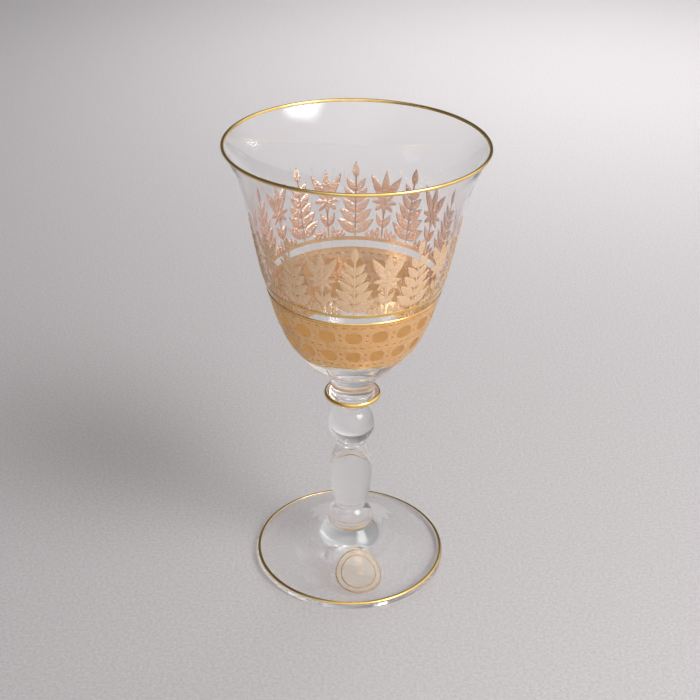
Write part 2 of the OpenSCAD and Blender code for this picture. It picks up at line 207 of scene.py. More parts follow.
foot_top = joined(
    curve((FOOT_R, FOOT_EDGE - EDGE_ROUND), (FOOT_R, FOOT_EDGE - EDGE_ROUND + EDGE_DRAW),
          (plate[0] + EDGE_DRAW, FOOT_EDGE), plate, EDGE_STEPS),
    curve(plate, leaning(plate, -PLATE_LEAN, PLATE_DRAW), leaning(FOOT_RISE, -RISE_LEAN, -PLATE_DRAW),
          FOOT_RISE, PLATE_STEPS),
    curve(FOOT_RISE, leaning(FOOT_RISE, -RISE_LEAN, RISE_DRAW),
          leaning(seat, -FOOT_SEAT_LEAN, -FOOT_SEAT_DRAW), seat))
foot_under = curve((rest_in, 0), (rest_in - HOLLOW_DRAW, FOOT_HOLLOW / 2), (HOLLOW_FLAT, FOOT_HOLLOW),
                   (0, FOOT_HOLLOW))
edge_under = curve((plate[0], 0), (plate[0] + EDGE_DRAW, 0), (FOOT_R, EDGE_ROUND - EDGE_DRAW),
                   (FOOT_R, EDGE_ROUND), EDGE_STEPS)
foot_outline = joined(foot_under[::-1], [(rest_in, 0), (plate[0], 0)], edge_under, foot_top,
                      [seat, (0, base_z)])
print("foot, points:", len(foot_outline), "height in mm:", round(base_z, 2))

# %% [markdown]
# ## Outlines of the knops
# The stem was made gather by gather: a base knop like half a ball, a long baluster with a round
# shoulder, and a knop that is nearly a true ball, with a sharp groove under it. Each swells between
# two waists. A circle would be too stiff for them, so fullness says how soon the side turns out at
# the waist (across and up) and how long it stays upright at its widest.

# %% Knop sides
BASE_KNOP_R = 8.6
BASE_KNOP_MID = 1.1
BASE_KNOP_FULL = ((0.04, 0.33, 0.34), (0.3, 0.25, 0.39))
LOWER_WAIST_R = 5.5
BALUSTER_R = 8
BALUSTER_MID = 14.8
BALUSTER_FULL = ((0.03, 0.16, 0.38), (0, 0.15, 0.6))
BALUSTER_NECK_R = 5.35
SHOULDER_H = 1.1
SHOULDER_STEPS = 12
UPPER_WAIST_R = 4
BALL_R = 8.58
BALL_MID = 7.6
BALL_FULL = ((0.37, 0.195, 0.42), (0.34, 0.22, 0.4))
BALL_SEAT_R = 4.65

baluster_z, ball_z, collar_z = (low(node) for node in ("baluster", "ball_knop", "collar"))


def swelling(under, widest, over, full):
    """A knop's side between two waists. Fullness is given in shares of the height to each waist."""
    below, above = widest[1] - under[1], over[1] - widest[1]
    low_full, high_full = full
    return joined(
        curve(under, (under[0] + below * low_full[0], under[1] + below * low_full[1]),
              (widest[0], widest[1] - below * low_full[2]), widest),
        curve(widest, (widest[0], widest[1] + above * high_full[2]),
              (over[0] + above * high_full[0], over[1] - above * high_full[1]), over))


lower_waist, upper_waist = (LOWER_WAIST_R, baluster_z), (UPPER_WAIST_R, ball_z)
shoulder = (BALUSTER_NECK_R, ball_z - SHOULDER_H)
collar_seat = (BALL_SEAT_R, collar_z)

base_knop_side = swelling(seat, (BASE_KNOP_R, base_z + BASE_KNOP_MID), lower_waist, BASE_KNOP_FULL)
baluster_side = joined(
    swelling(lower_waist, (BALUSTER_R, baluster_z + BALUSTER_MID), shoulder, BALUSTER_FULL),
    curve(shoulder, (shoulder[0], shoulder[1] + SHOULDER_H / 2), (UPPER_WAIST_R + SHOULDER_H / 2, ball_z),
          upper_waist, SHOULDER_STEPS))
ball_side = swelling(upper_waist, (BALL_R, ball_z + BALL_MID), collar_seat, BALL_FULL)
print("stem seats at mm:", [round(z, 2) for z in (base_z, baluster_z, ball_z, collar_z, bowl_z)])

# %% [markdown]
# ## Outline of the collar
# A collar of glass, pressed flat while hot, sits between the ball and the bowl. Its edge is half
# round and carries gold, so the edge is kept as a line of its own for the gold to follow.

# %% Collar outline
COLLAR_R = 10.08
COLLAR_EDGE = 1.8
COLLAR_MID_H = 5.1
COLLAR_SEAT_LEAN = 22
COLLAR_UNDER_LEAN = 66
COLLAR_UNDER_DRAW = 1.7
COLLAR_UNDER_STEPS = 16
COLLAR_TOP_LEAN = 67
COLLAR_TOP_DRAW = 1.3
COLLAR_TOP_STEPS = 12
COLLAR_EDGE_STEPS = 24

edge_turn = np.radians(np.linspace(-90, 90, COLLAR_EDGE_STEPS + 1))
collar_face = np.stack([COLLAR_R - COLLAR_EDGE / 2 * (1 - np.cos(edge_turn)),
                        collar_z + COLLAR_MID_H + COLLAR_EDGE / 2 * np.sin(edge_turn)], axis=1)
collar_low, collar_high = collar_face[0], collar_face[-1]
collar_side = joined(
    curve(collar_seat, leaning(collar_seat, COLLAR_SEAT_LEAN, COLLAR_UNDER_DRAW),
          leaning(collar_low, COLLAR_UNDER_LEAN, -COLLAR_UNDER_DRAW), collar_low, COLLAR_UNDER_STEPS),
    collar_face,
    curve(collar_high, leaning(collar_high, -COLLAR_TOP_LEAN, COLLAR_TOP_DRAW),
          (NECK_R, bowl_z - COLLAR_TOP_DRAW), neck_seat, COLLAR_TOP_STEPS))
print("collar, points:", len(collar_side))

# %% [markdown]
# ## From an outline to a mesh
# Turning an outline round the axis gives rings of points with faces between them. Blender's Screw
# modifier could do this too, but numbers are needed here for each face, to give the seats and the
# backs of the gold a finish of their own. A point on the axis stays one point, so a piece closes
# there without a hole.

# %% Turning an outline
AROUND = 240


def turned(outline, closed=False):
    """Points and faces of an outline turned round the axis, and the outline step of each face."""
    angles = np.arange(AROUND) * 2 * math.pi / AROUND
    points, rings = [], []
    for r, z in outline:
        if r < TINY:
            rings.append([len(points)])
            points.append((0.0, 0.0, z))
        else:
            rings.append(list(range(len(points), len(points) + AROUND)))
            points.extend(zip(r * np.sin(angles), -r * np.cos(angles), np.full(AROUND, z)))
    pairs = list(zip(rings, rings[1:] + rings[:1])) if closed else list(zip(rings, rings[1:]))
    faces, steps = [], []
    for step, (a, b) in enumerate(pairs):
        for k in range(AROUND):
            j = (k + 1) % AROUND
            if len(a) == 1:
                faces.append((a[0], b[j], b[k]))
            elif len(b) == 1:
                faces.append((a[k], a[j], b[0]))
            else:
                faces.append((a[k], a[j], b[j], b[k]))
            steps.append(step)
    return points, faces, np.array(steps)


print("faces in a turned bowl:", len(turned(bowl_outline)[1]))

# %% [markdown]
# A piece is a mesh object that stands for one node of the frame. Its normals are made to point
# outwards, it is shaded smooth with sharp edges kept, and it is tested for open edges, because
# glass only bends light rightly inside a closed mesh.

# %% Making a piece
SMOOTH_UP_TO = 40


def make_piece(name, node, points, faces, finishes, which=None, sharp=SMOOTH_UP_TO):
    """A closed mesh that stands for a node of the frame."""
    mesh = bpy.data.meshes.new(name)
    mesh.from_pydata((np.asarray(points) * MM).tolist(), [], [tuple(map(int, f)) for f in faces])
    for material in finishes:
        mesh.materials.append(material)
    if which is not None:
        mesh.polygons.foreach_set("material_index", np.asarray(which, np.int32))
    bm = bmesh.new()
    bm.from_mesh(mesh)
    bmesh.ops.recalc_face_normals(bm, faces=bm.faces)
    open_edges = sum(not edge.is_manifold for edge in bm.edges)
    bm.to_mesh(mesh)
    bm.free()
    mesh.shade_smooth()
    mesh.set_sharp_from_angle(angle=math.radians(sharp))
    piece = bpy.data.objects.new(name, mesh)
    scene.collection.objects.link(piece)
    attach(piece, "root")
    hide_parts(node)
    print(f"{name}: {len(mesh.polygons)} faces, open edges {open_edges}")
    return piece


print("edges stay smooth up to degrees:", SMOOTH_UP_TO)

# %% [markdown]
# ## Finishes
# No real surface is even: glass waves a little, gold drifts in colour and gloss. A picture could
# hold this, but needs a file and blurs close up. Noise made by nodes has no limit, so every finish
# here starts from a noise in the piece's own space. It drives a colour, a roughness or a bump.

# %% Finish helpers
NOISE_LOW = 0.3
NOISE_HIGH = 0.7


def finish(name):
    """A new node material and its Principled shader."""
    material = bpy.data.materials.new(name)
    material.use_nodes = True
    return material, material.node_tree, material.node_tree.nodes["Principled BSDF"]


def noise(tree, scale, detail=2.0, rough=0.5):
    """A noise in the piece's own space. Scale counts waves in a metre."""
    place = tree.nodes.new("ShaderNodeTexCoord")
    grain = tree.nodes.new("ShaderNodeTexNoise")
    grain.inputs["Scale"].default_value = scale
    grain.inputs["Detail"].default_value = detail
    grain.inputs["Roughness"].default_value = rough
    tree.links.new(place.outputs["Object"], grain.inputs["Vector"])
    return grain.outputs["Fac"]


def ranged(tree, value, at_low, at_high):
    """The value of a noise, spread from one number where it is low to another where it is high."""
    spread = tree.nodes.new("ShaderNodeMapRange")
    spread.inputs["From Min"].default_value = NOISE_LOW
    spread.inputs["From Max"].default_value = NOISE_HIGH
    spread.inputs["To Min"].default_value = at_low
    spread.inputs["To Max"].default_value = at_high
    tree.links.new(value, spread.inputs["Value"])
    return spread.outputs["Result"]


def blended(tree, value, first, second):
    """A colour between two, chosen by a noise."""
    ramp = tree.nodes.new("ShaderNodeValToRGB")
    ramp.color_ramp.elements[0].position = NOISE_LOW
    ramp.color_ramp.elements[1].position = NOISE_HIGH
    ramp.color_ramp.elements[0].color = (*first, 1)
    ramp.color_ramp.elements[1].color = (*second, 1)
    tree.links.new(value, ramp.inputs["Fac"])
    return ramp.outputs["Color"]


def waved(tree, shader, value, strength, depth):
    """Bends the shader's normals by a height."""
    bump = tree.nodes.new("ShaderNodeBump")
    bump.inputs["Strength"].default_value = strength
    bump.inputs["Distance"].default_value = depth
    tree.links.new(value, bump.inputs["Height"])
    tree.links.new(bump.outputs["Normal"], shader.inputs["Normal"])


print("noise is used between", NOISE_LOW, "and", NOISE_HIGH)

# %% [markdown]
# ## Light through the glass
# A goblet throws a pale, soft shadow. Tracing the light that it bends would give bright speckle
# and take very long. So rays that look for a lamp go straight through the surface and lose a tint
# on the way, and rays that gather light from the floor lose only a fifth of that tint. Rays from
# the camera still see the full glass.

# %% Lamp rays
BOUNCE_TINT = 0.2


def lamp_rays_pass(tree, surface, colour):
    """Lets rays that gather light go straight through. Those that look for a lamp are tinted."""
    path = tree.nodes.new("ShaderNodeLightPath")
    tint = tree.nodes.new("ShaderNodeMix")
    tint.data_type = "RGBA"
    tint.inputs["A"].default_value = (*[BOUNCE_TINT * part + 1 - BOUNCE_TINT for part in colour], 1)
    tint.inputs["B"].default_value = (*colour, 1)
    tree.links.new(path.outputs["Is Shadow Ray"], tint.inputs["Factor"])
    either = tree.nodes.new("ShaderNodeMath")
    either.operation = "MAXIMUM"
    tree.links.new(path.outputs["Is Shadow Ray"], either.inputs[0])
    tree.links.new(path.outputs["Is Diffuse Ray"], either.inputs[1])
    clear = tree.nodes.new("ShaderNodeBsdfTransparent")
    tree.links.new(tint.outputs["Result"], clear.inputs["Color"])
    mix = tree.nodes.new("ShaderNodeMixShader")
    tree.links.new(either.outputs["Value"], mix.inputs["Fac"])
    tree.links.new(surface, mix.inputs[1])
    tree.links.new(clear.outputs["BSDF"], mix.inputs[2])
    tree.links.new(mix.outputs["Shader"], tree.nodes["Material Output"].inputs["Surface"])


print("share of the tint for gathered light:", BOUNCE_TINT)

# %% [markdown]
# ## Clear glass
# The glass is nearly colourless, with a faint warm cast. One Principled shader with full
# transmission does this. The bowl and the knops cooled without a mould, so a wide, shallow
# noise bends their normals. The foot was opened while it spun, so faint rings do it there. The
# seats where two gathers are fused are no surface at all, so they let everything through.

# %% Glass finishes
GLASS_COLOUR = (0.995, 0.99, 0.99)
GLASS_IOR = 1.5
# Painted shade: lamp rays through the bowl and the stem take this dark, warm tint. It deepens and warms
# their shadow on the paper, in place of the light that the glass bends away. The foot lets lamp rays
# through nearly clear, so the paper under it stays bright.
GLASS_SHADOW_TINT = (0.69, 0.655, 0.655)
SPIN_PERIOD = 0.006
WAVES_IN_A_UNIT = 20 / (2 * math.pi)


def spin_marks(tree):
    """Faint rings round the axis, a little uneven. At scale 1 the texture has 20 / 2 pi in a metre."""
    place = tree.nodes.new("ShaderNodeTexCoord")
    rings = tree.nodes.new("ShaderNodeTexWave")
    rings.wave_type = "RINGS"
    rings.rings_direction = "Z"
    rings.inputs["Scale"].default_value = 1 / (WAVES_IN_A_UNIT * SPIN_PERIOD)
    rings.inputs["Distortion"].default_value = 1.5
    tree.links.new(place.outputs["Object"], rings.inputs["Vector"])
    return rings.outputs["Fac"]


def glass_finish(name, lamp_colour, spun=False):
    material, tree, shader = finish(name)
    shader.inputs["Base Color"].default_value = (*GLASS_COLOUR, 1)
    shader.inputs["Roughness"].default_value = 0.0
    shader.inputs["IOR"].default_value = GLASS_IOR
    shader.inputs["Transmission Weight"].default_value = 1.0
    if spun:
        waved(tree, shader, spin_marks(tree), strength=0.5, depth=0.0001)
    else:
        waved(tree, shader, noise(tree, scale=70, detail=1.0), strength=0.15, depth=0.0004)
    lamp_rays_pass(tree, shader.outputs["BSDF"], lamp_colour)
    return material


def fused_seat_finish():
    material, _, shader = finish("fused_seat")
    shader.inputs["Base Color"].default_value = (1, 1, 1, 1)
    shader.inputs["Alpha"].default_value = 0.0
    return material


clear_glass = glass_finish("clear_glass", GLASS_SHADOW_TINT)
foot_glass = glass_finish("foot_glass", GLASS_COLOUR, spun=True)
fused_seat = fused_seat_finish()
print("finishes:", clear_glass.name, foot_glass.name, fused_seat.name)

# %% [markdown]
# ## The six glass pieces
# The foot, the knops, the collar and the bowl are turned from their outlines. One outline for the
# whole goblet would be simpler, but these are six gathers of glass, and each stays a piece of its
# own. A step of an outline that lies flat and reaches the axis is a fused seat.


# %% Turning the glass
def glass_piece(name, node, outline, glass=clear_glass):
    """A turned piece of glass whose flat ends on the axis are fused seats."""
    points, faces, steps = turned(outline)
    outline = np.asarray(outline)
    flat = np.abs(np.diff(outline[:, 1])) < TINY
    on_axis = (outline[:-1, 0] < TINY) | (outline[1:, 0] < TINY)
    seats = np.flatnonzero(flat & on_axis)
    which = np.isin(steps, seats).astype(int)
    return make_piece(name, node, points, faces, [glass, fused_seat], which)


def between_seats(side):
    """A knop's outline: its side with a flat seat under and over it."""
    return joined([(0, side[0][1])], side[:1], side, [(0, side[-1][1])])


glass_piece("foot_glass", "foot", foot_outline, foot_glass)
glass_piece("base_knop_glass", "base_knop", between_seats(base_knop_side))
glass_piece("baluster_glass", "baluster", between_seats(baluster_side))
glass_piece("ball_knop_glass", "ball_knop", between_seats(ball_side))
glass_piece("collar_glass", "collar", between_seats(collar_side))
glass_piece("bowl_glass", "bowl", bowl_outline)

# %% [markdown]
# ## Gold
# Liquid gold is brushed or printed on and fired, so it is a metal film with fine brush marks and
# thin places. A shader of pure metal is right for the burnished lines. Satin gold lets some of its
# matt ground show through, so its metal share is lower. From outside gold is yellow. Through the
# glass its back shows rosier, because the film was fired against the glass. The bump is several
# times finer than the drift of the colour.

# %% Gold finishes
BUMP_FINER = 6


def gold_finish(name, pale, deep, smooth, dull, grain, depth, metal=1.0):
    """A metal film whose colour and gloss drift between two values, with a fine bump."""
    material, tree, shader = finish(name)
    shader.inputs["Metallic"].default_value = metal
    drift = noise(tree, grain, detail=4.0, rough=0.6)
    tree.links.new(blended(tree, drift, deep, pale), shader.inputs["Base Color"])
    tree.links.new(ranged(tree, drift, dull, smooth), shader.inputs["Roughness"])
    waved(tree, shader, noise(tree, grain * BUMP_FINER, detail=2.0), strength=0.25, depth=depth)
    return material


bright_gold = gold_finish("bright_gold", pale=(0.98, 0.70, 0.26), deep=(0.89, 0.58, 0.18),
                          smooth=0.08, dull=0.18, grain=300, depth=0.00003)
rose_back = gold_finish("rose_back", pale=(0.98, 0.70, 0.37), deep=(0.90, 0.58, 0.28),
                        smooth=0.14, dull=0.28, grain=300, depth=0.00003, metal=0.8)
print("gold finishes:", bright_gold.name, rose_back.name)

# %% [markdown]
# ## Coats on the glass
# A gold line is a thin coat that follows the glass under it, thickest in its middle and run out at
# its edges. A Solidify modifier would give it square edges. So its section is made from the stretch
# of outline that it covers, and turned. Its back lies a hair inside the glass, so that no air is
# left between gold and glass.

# %% Coat helpers
SUNK = 0.03
CROWN_POWER = 5


def away(line):
    """Unit directions out of the glass along a line that runs with the glass on its left."""
    line = np.asarray(line, float)
    along = np.gradient(line, axis=0)
    along /= np.linalg.norm(along, axis=1)[:, None]
    return np.stack([along[:, 1], -along[:, 0]], axis=1)


def evened(line, count):
    """The same line with its points spread evenly."""
    line = np.asarray(line, float)
    lengths = np.concatenate([[0], np.cumsum(np.linalg.norm(np.diff(line, axis=0), axis=1))])
    places = np.linspace(0, lengths[-1], count)
    return np.stack([np.interp(places, lengths, line[:, i]) for i in (0, 1)], axis=1)


def stretch_between(line, a, b, axis=1):
    """The part of a line whose height, or radius for axis 0, lies between two values."""
    line = np.asarray(line, float)
    line = line if line[0, axis] < line[-1, axis] else line[::-1]
    ends = [np.array([np.interp(v, line[:, axis], line[:, i]) for i in (0, 1)]) for v in (a, b)]
    inside = (line[:, axis] > a + TINY) & (line[:, axis] < b - TINY)
    return np.concatenate([ends[:1], line[inside], ends[1:]])


def coat(line, thickness, count):
    """The closed section of a coat on a line: its front, then its back."""
    line = evened(line, count)
    out = away(line)
    share = np.linspace(-1, 1, count)
    crown = np.sqrt(1 - np.abs(share) ** CROWN_POWER)[:, None]
    front = line + out * (-SUNK / 2 + (thickness + SUNK / 2) * crown)
    back = (line - out * SUNK)[::-1]
    return np.concatenate([front, back])


def gold_line(name, node, line, thickness, finishes=(bright_gold, rose_back), count=16):
    """A coat turned round the axis, with one finish in front and one behind."""
    points, faces, steps = turned(coat(line, thickness, count), closed=True)
    which = (steps >= count - 1).astype(int)
    return make_piece(name, node, points, faces, finishes, which)


print("coats are sunk by mm:", SUNK)

# %% [markdown]
# ## The gold lines
# Six plain lines of gold go round the goblet: over the lip, under the frieze, over and under the
# cane band, round the collar and along the foot. Where a line lies on the bowl, the frame says
# between which heights. The two lines of the cane band stand as high as the webbing between them.

# %% Six gold lines
WEB_T = 0.14
LIP_LINE_W = 0.6
LIP_INNER_W = 0.3
FOOT_LINE_EDGE = 0.25
FOOT_LINE_W = 1.05
COLLAR_LINE_SKIP = 2

lip_line = joined(stretch_between(bowl_outside, lip_edge_z - LIP_LINE_W, lip_edge_z), lip_round,
                  stretch_between(side_inside, lip_edge_z - LIP_INNER_W, lip_edge_z)[::-1])
foot_line_out = FOOT_R - FOOT_LINE_EDGE
foot_line = stretch_between(foot_top, foot_line_out - FOOT_LINE_W, foot_line_out, axis=0)[::-1]
collar_line = collar_face[COLLAR_LINE_SKIP:-COLLAR_LINE_SKIP]


def bowl_stretch(node):
    """The stretch of the bowl's outside that a node covers."""
    return stretch_between(bowl_outside, low(node), high(node))


gold_line("lip_gold", "lip_gilding", lip_line, GOLD_T, count=36)
gold_line("frieze_ring_gold", "frieze_ring", bowl_stretch("frieze_ring"), GOLD_T)
gold_line("cane_top_gold", "cane_top_ring", bowl_stretch("cane_top_ring"), GOLD_T + WEB_T)
gold_line("cane_bottom_gold", "cane_bottom_ring", bowl_stretch("cane_bottom_ring"), GOLD_T + WEB_T)
gold_line("collar_gold", "collar_gilding", collar_line, GOLD_T, count=24)
gold_line("foot_gold", "foot_gilding", foot_line, GOLD_T)

# %% [markdown]
# ## The amber ground
# Under the cane webbing lies a thin amber lustre. It is partly a metal and partly a stain, and glows
# where light comes from behind. Half of its shader is a satin gold and half is translucent, which
# scatters light through to the other side. Its shadow is amber too.

# %% Amber ground
AMBER_DEEP = (0.83, 0.42, 0.15)
AMBER_PALE = (0.93, 0.53, 0.22)
AMBER_GLOW = (0.98, 0.60, 0.18)
AMBER_TINT = (0.86, 0.62, 0.34)


def amber_ground_finish():
    material, tree, shader = finish("amber_gold")
    drift = noise(tree, scale=260, detail=4.0, rough=0.6)
    tree.links.new(blended(tree, drift, AMBER_DEEP, AMBER_PALE), shader.inputs["Base Color"])
    tree.links.new(ranged(tree, drift, at_low=0.50, at_high=0.36), shader.inputs["Roughness"])
    shader.inputs["Metallic"].default_value = 0.4
    waved(tree, shader, noise(tree, scale=1500, detail=2.0), strength=0.3, depth=0.00003)
    glow = tree.nodes.new("ShaderNodeBsdfTranslucent")
    glow.inputs["Color"].default_value = (*AMBER_GLOW, 1)
    lustre = tree.nodes.new("ShaderNodeMixShader")
    lustre.inputs["Fac"].default_value = 0.5
    tree.links.new(shader.outputs["BSDF"], lustre.inputs[1])
    tree.links.new(glow.outputs["BSDF"], lustre.inputs[2])
    lamp_rays_pass(tree, lustre.outputs["Shader"], AMBER_TINT)
    return material


amber_ground = amber_ground_finish()
gold_line("cane_ground_amber", "cane_ground", bowl_stretch("cane_ground"), GOLD_T,
          (amber_ground, amber_ground), count=40)

# %% [markdown]
# ## The frieze
# Ten upright sprigs and ten rosettes stand on a gold line, with short tongue leaves in the corners
# between them. The leaves are satin gold outside. Their back is bright and crinkled, as on etched
# glass, and glitters through the bowl. Outlines could be drawn on the curved wall itself, but flat
# ones are easier to plan. So they are drawn flat and sent straight back onto the wall, as a
# transfer print would be laid on.

# %% Ornament on the wall
FRIEZE_T = 0.16
satin_gold = gold_finish("satin_gold", pale=(0.98, 0.71, 0.46), deep=(0.91, 0.60, 0.36),
                         smooth=0.18, dull=0.32, grain=500, depth=0.00012, metal=0.7)
copper_back = gold_finish("copper_back", pale=(0.99, 0.79, 0.66), deep=(0.93, 0.69, 0.56),
                          smooth=0.06, dull=0.18, grain=180, depth=0.0008, metal=0.9)

frieze_base = high("frieze_ring")
wall_z = bowl_outside[:, 1]
wall_out = away(bowl_outside)


def on_wall(angle, x, z, lift):
    """Points on the bowl: x across from an angle in degrees, at a height, lifted off the glass."""
    x, z, lift = np.broadcast_arrays(np.asarray(x, float), np.asarray(z, float), np.asarray(lift, float))
    r = np.interp(z, wall_z, bowl_outside[:, 0])
    out_r, out_z = (np.interp(z, wall_z, wall_out[:, i]) for i in (0, 1))
    side = np.arcsin(x / r) + math.radians(angle)
    reach = r + lift * out_r
    return np.stack([reach * np.sin(side), -reach * np.cos(side), z + lift * out_z], axis=-1)


print("frieze finishes:", satin_gold.name, copper_back.name, "from mm:", round(frieze_base, 2))

# %% [markdown]
# Each leaf is a small closed shell like a lens: a front and a back that share their rim, with a pole
# at each end. Many shells are gathered into one mesh, because a piece of the frieze is one print.

# %% Shells
RELIEF_SMOOTH = 80


class Relief:
    """Gathers many small closed shells into the points and faces of one piece."""

    def __init__(self):
        self.points, self.faces, self.which = [], [], []

    def add(self, points, faces, which):
        first = len(self.points)
        self.points.extend(map(tuple, points))
        self.faces.extend(tuple(first + i for i in face) for face in faces)
        self.which.extend(which)

    def piece(self, name, node):
        return make_piece(name, node, self.points, self.faces,
                          [satin_gold, copper_back], self.which, sharp=RELIEF_SMOOTH)


def shell_faces(rows, across):
    """Faces of a lens: two poles, rows of front points, and back points that share the rim."""
    def front(i, j):
        return 2 + i * (across + 1) + j

    backs = 2 + rows * (across + 1)

    def back(i, j):
        return front(i, j) if j in (0, across) else backs + i * (across - 1) + j - 1

    faces, which = [], []
    for side, at in ((0, front), (1, back)):
        for j in range(across):
            faces.append((0, at(0, j), at(0, j + 1)))
            faces.append((1, at(rows - 1, j + 1), at(rows - 1, j)))
            faces.extend((at(i, j), at(i + 1, j), at(i + 1, j + 1), at(i, j + 1)) for i in range(rows - 1))
        which.extend([side] * (across * (rows + 1)))
    return [face[::-1] if w else face for face, w in zip(faces, which)], which


print("faces in a small shell:", len(shell_faces(4, 4)[0]))

# %% [markdown]
# A leaf has a midrib and slanting veins, raised in front and pressed into the glass behind. A bump
# would be quicker, but veins that catch the light at the edge of a leaf have to be real. The leaf is
# a grid that narrows to a point at both ends. A cosine along the grid makes the veins, shifted
# towards the edges so that they slant, and a narrow bell across it makes the midrib.

# %% Leaves
VEIN_SLANT = 1.2
RIB_W = 0.16
EDGE_POWER = 4
TIP_RUN = 0.15
TIP_LEAST = 0.2
RAISED = (0.45, 0.4, 0.15)
PRESSED = (0.1, 0.09, 0.02)
WIDEST_POWER = 0.8


def leaf_points(length, half_width, place, angle, veins, rows, across, buried=0.0):
    """A leaf's points: poles, then front and back of each row, set on the wall."""
    u = np.linspace(0, 1, rows + 2)
    v = np.sin(np.linspace(-1, 1, across + 1) * math.pi / 2)
    uu, vv = np.meshgrid(u, v, indexing="ij")
    across_mm, along_mm = vv * half_width(uu), uu * length
    lean, (x0, y0) = math.radians(place[0]), place[1]
    x = x0 + across_mm * math.cos(lean) - along_mm * math.sin(lean)
    y = y0 + across_mm * math.sin(lean) + along_mm * math.cos(lean)
    slant = np.cos(2 * math.pi * (veins * uu - VEIN_SLANT * np.abs(vv)))
    rib = np.exp(-((vv / RIB_W) ** 2))
    edge = (1 - vv**EDGE_POWER) * np.clip((uu - buried) / TIP_RUN, TIP_LEAST, 1)
    raised, pressed = (even + vein * slant + ridge * rib for even, vein, ridge in (RAISED, PRESSED))
    tops = on_wall(angle, x, frieze_base + y, -SUNK / 2 + edge * (FRIEZE_T * raised + SUNK / 2))
    backs = on_wall(angle, x, frieze_base + y, -SUNK / 2 - edge * pressed)
    middle = across // 2
    return np.concatenate([tops[0, middle][None], tops[-1, middle][None],
                           tops[1:-1].reshape(-1, 3), backs[1:-1, 1:-1].reshape(-1, 3)])


def add_leaf(relief, length, width, place, angle, veins=9, rows=40, across=10, buried=0.0):
    """A pointed leaf, widest below its middle. Place is its lean and its foot."""
    points = leaf_points(length, lambda u: width / 2 * np.sin(math.pi * u**WIDEST_POWER), place, angle,
                         veins, rows, across, buried)
    relief.add(points, *shell_faces(rows, across))


print("veins rise by mm:", round(2 * FRIEZE_T * RAISED[1], 3))

# %% [markdown]
# ## Sprigs
# A sprig is a stalk with pairs of leaves that get smaller and steeper towards a leaf at its tip. The
# stalk is the same grid with blunt ends and no veins. It starts a little below the top of the gold
# line, so that it grows out of the line.

# %% Ten sprigs
SPRIG_COUNT = 10
SPRIG_H = 26.5
SPRIG_LEAF = 8.5
SPRIG_LEAF_W = 3.6
SPRIG_PAIRS = 5
TIP_LEAF = 6
TIP_LEAF_W = 2.6
FIRST_LEAF_H = 1.3
FIRST_LEAF_LEAN = 52
LEAF_LEAN_STEP = 4
LEAF_TAPER = 0.38
STALK_W = 0.7
STALK_POWER = 24
SINK = 0.2
sprig_angle = 360 / SPRIG_COUNT
leaf_rise = (SPRIG_H - SPRIG_LEAF) / SPRIG_PAIRS


def add_stalk(relief, height, width, angle, rows=24, across=6):
    """A round stalk that stands on the line under the frieze."""
    points = leaf_points(height + SINK, lambda u: width / 2 * np.sqrt(1 - np.abs(2 * u - 1) ** STALK_POWER),
                         (0, (0, -SINK)), angle, 0, rows, across)
    relief.add(points, *shell_faces(rows, across))


sprigs = Relief()
for i in range(SPRIG_COUNT):
    for pair in range(SPRIG_PAIRS):
        size = 1 - LEAF_TAPER * pair / SPRIG_PAIRS
        for side in (-1, 1):
            place = (side * (FIRST_LEAF_LEAN - LEAF_LEAN_STEP * pair), (0, FIRST_LEAF_H + leaf_rise * pair))
            add_leaf(sprigs, SPRIG_LEAF * size, SPRIG_LEAF_W * size, place, i * sprig_angle)
    add_leaf(sprigs, TIP_LEAF, TIP_LEAF_W, (0, (0, SPRIG_H - TIP_LEAF)), i * sprig_angle)
    add_stalk(sprigs, SPRIG_H - TIP_LEAF / 2, STALK_W, i * sprig_angle)
sprigs.piece("frieze_sprigs_gold", "frieze_sprigs")

# %% [markdown]
# ## Rosettes
# A rosette is a flower of eight petals with a beaded middle. A leaf's grid would pinch at its middle,
# so the flower's grid is round: rings of points whose radius swings once for each petal. Ridges run
# along the petals, and six beads stand in a ring round the middle.

# %% A flower
ROSETTE_R = 4.6
ROSETTE_H = 13
PETALS = 8
PETAL_SWING = 0.22
PETAL_EDGE_POWER = 6
BEADS = 6
BEAD_H = 0.12
BEAD_RING = 0.22
BEAD_W = 0.08
MIDDLE_R = 0.28
FLOWER_RAISED = (0.45, 0.35, 0.3)
FLOWER_PRESSED = (0.04, 0.05, 0.03)
FLOWER_BACK = 0.09


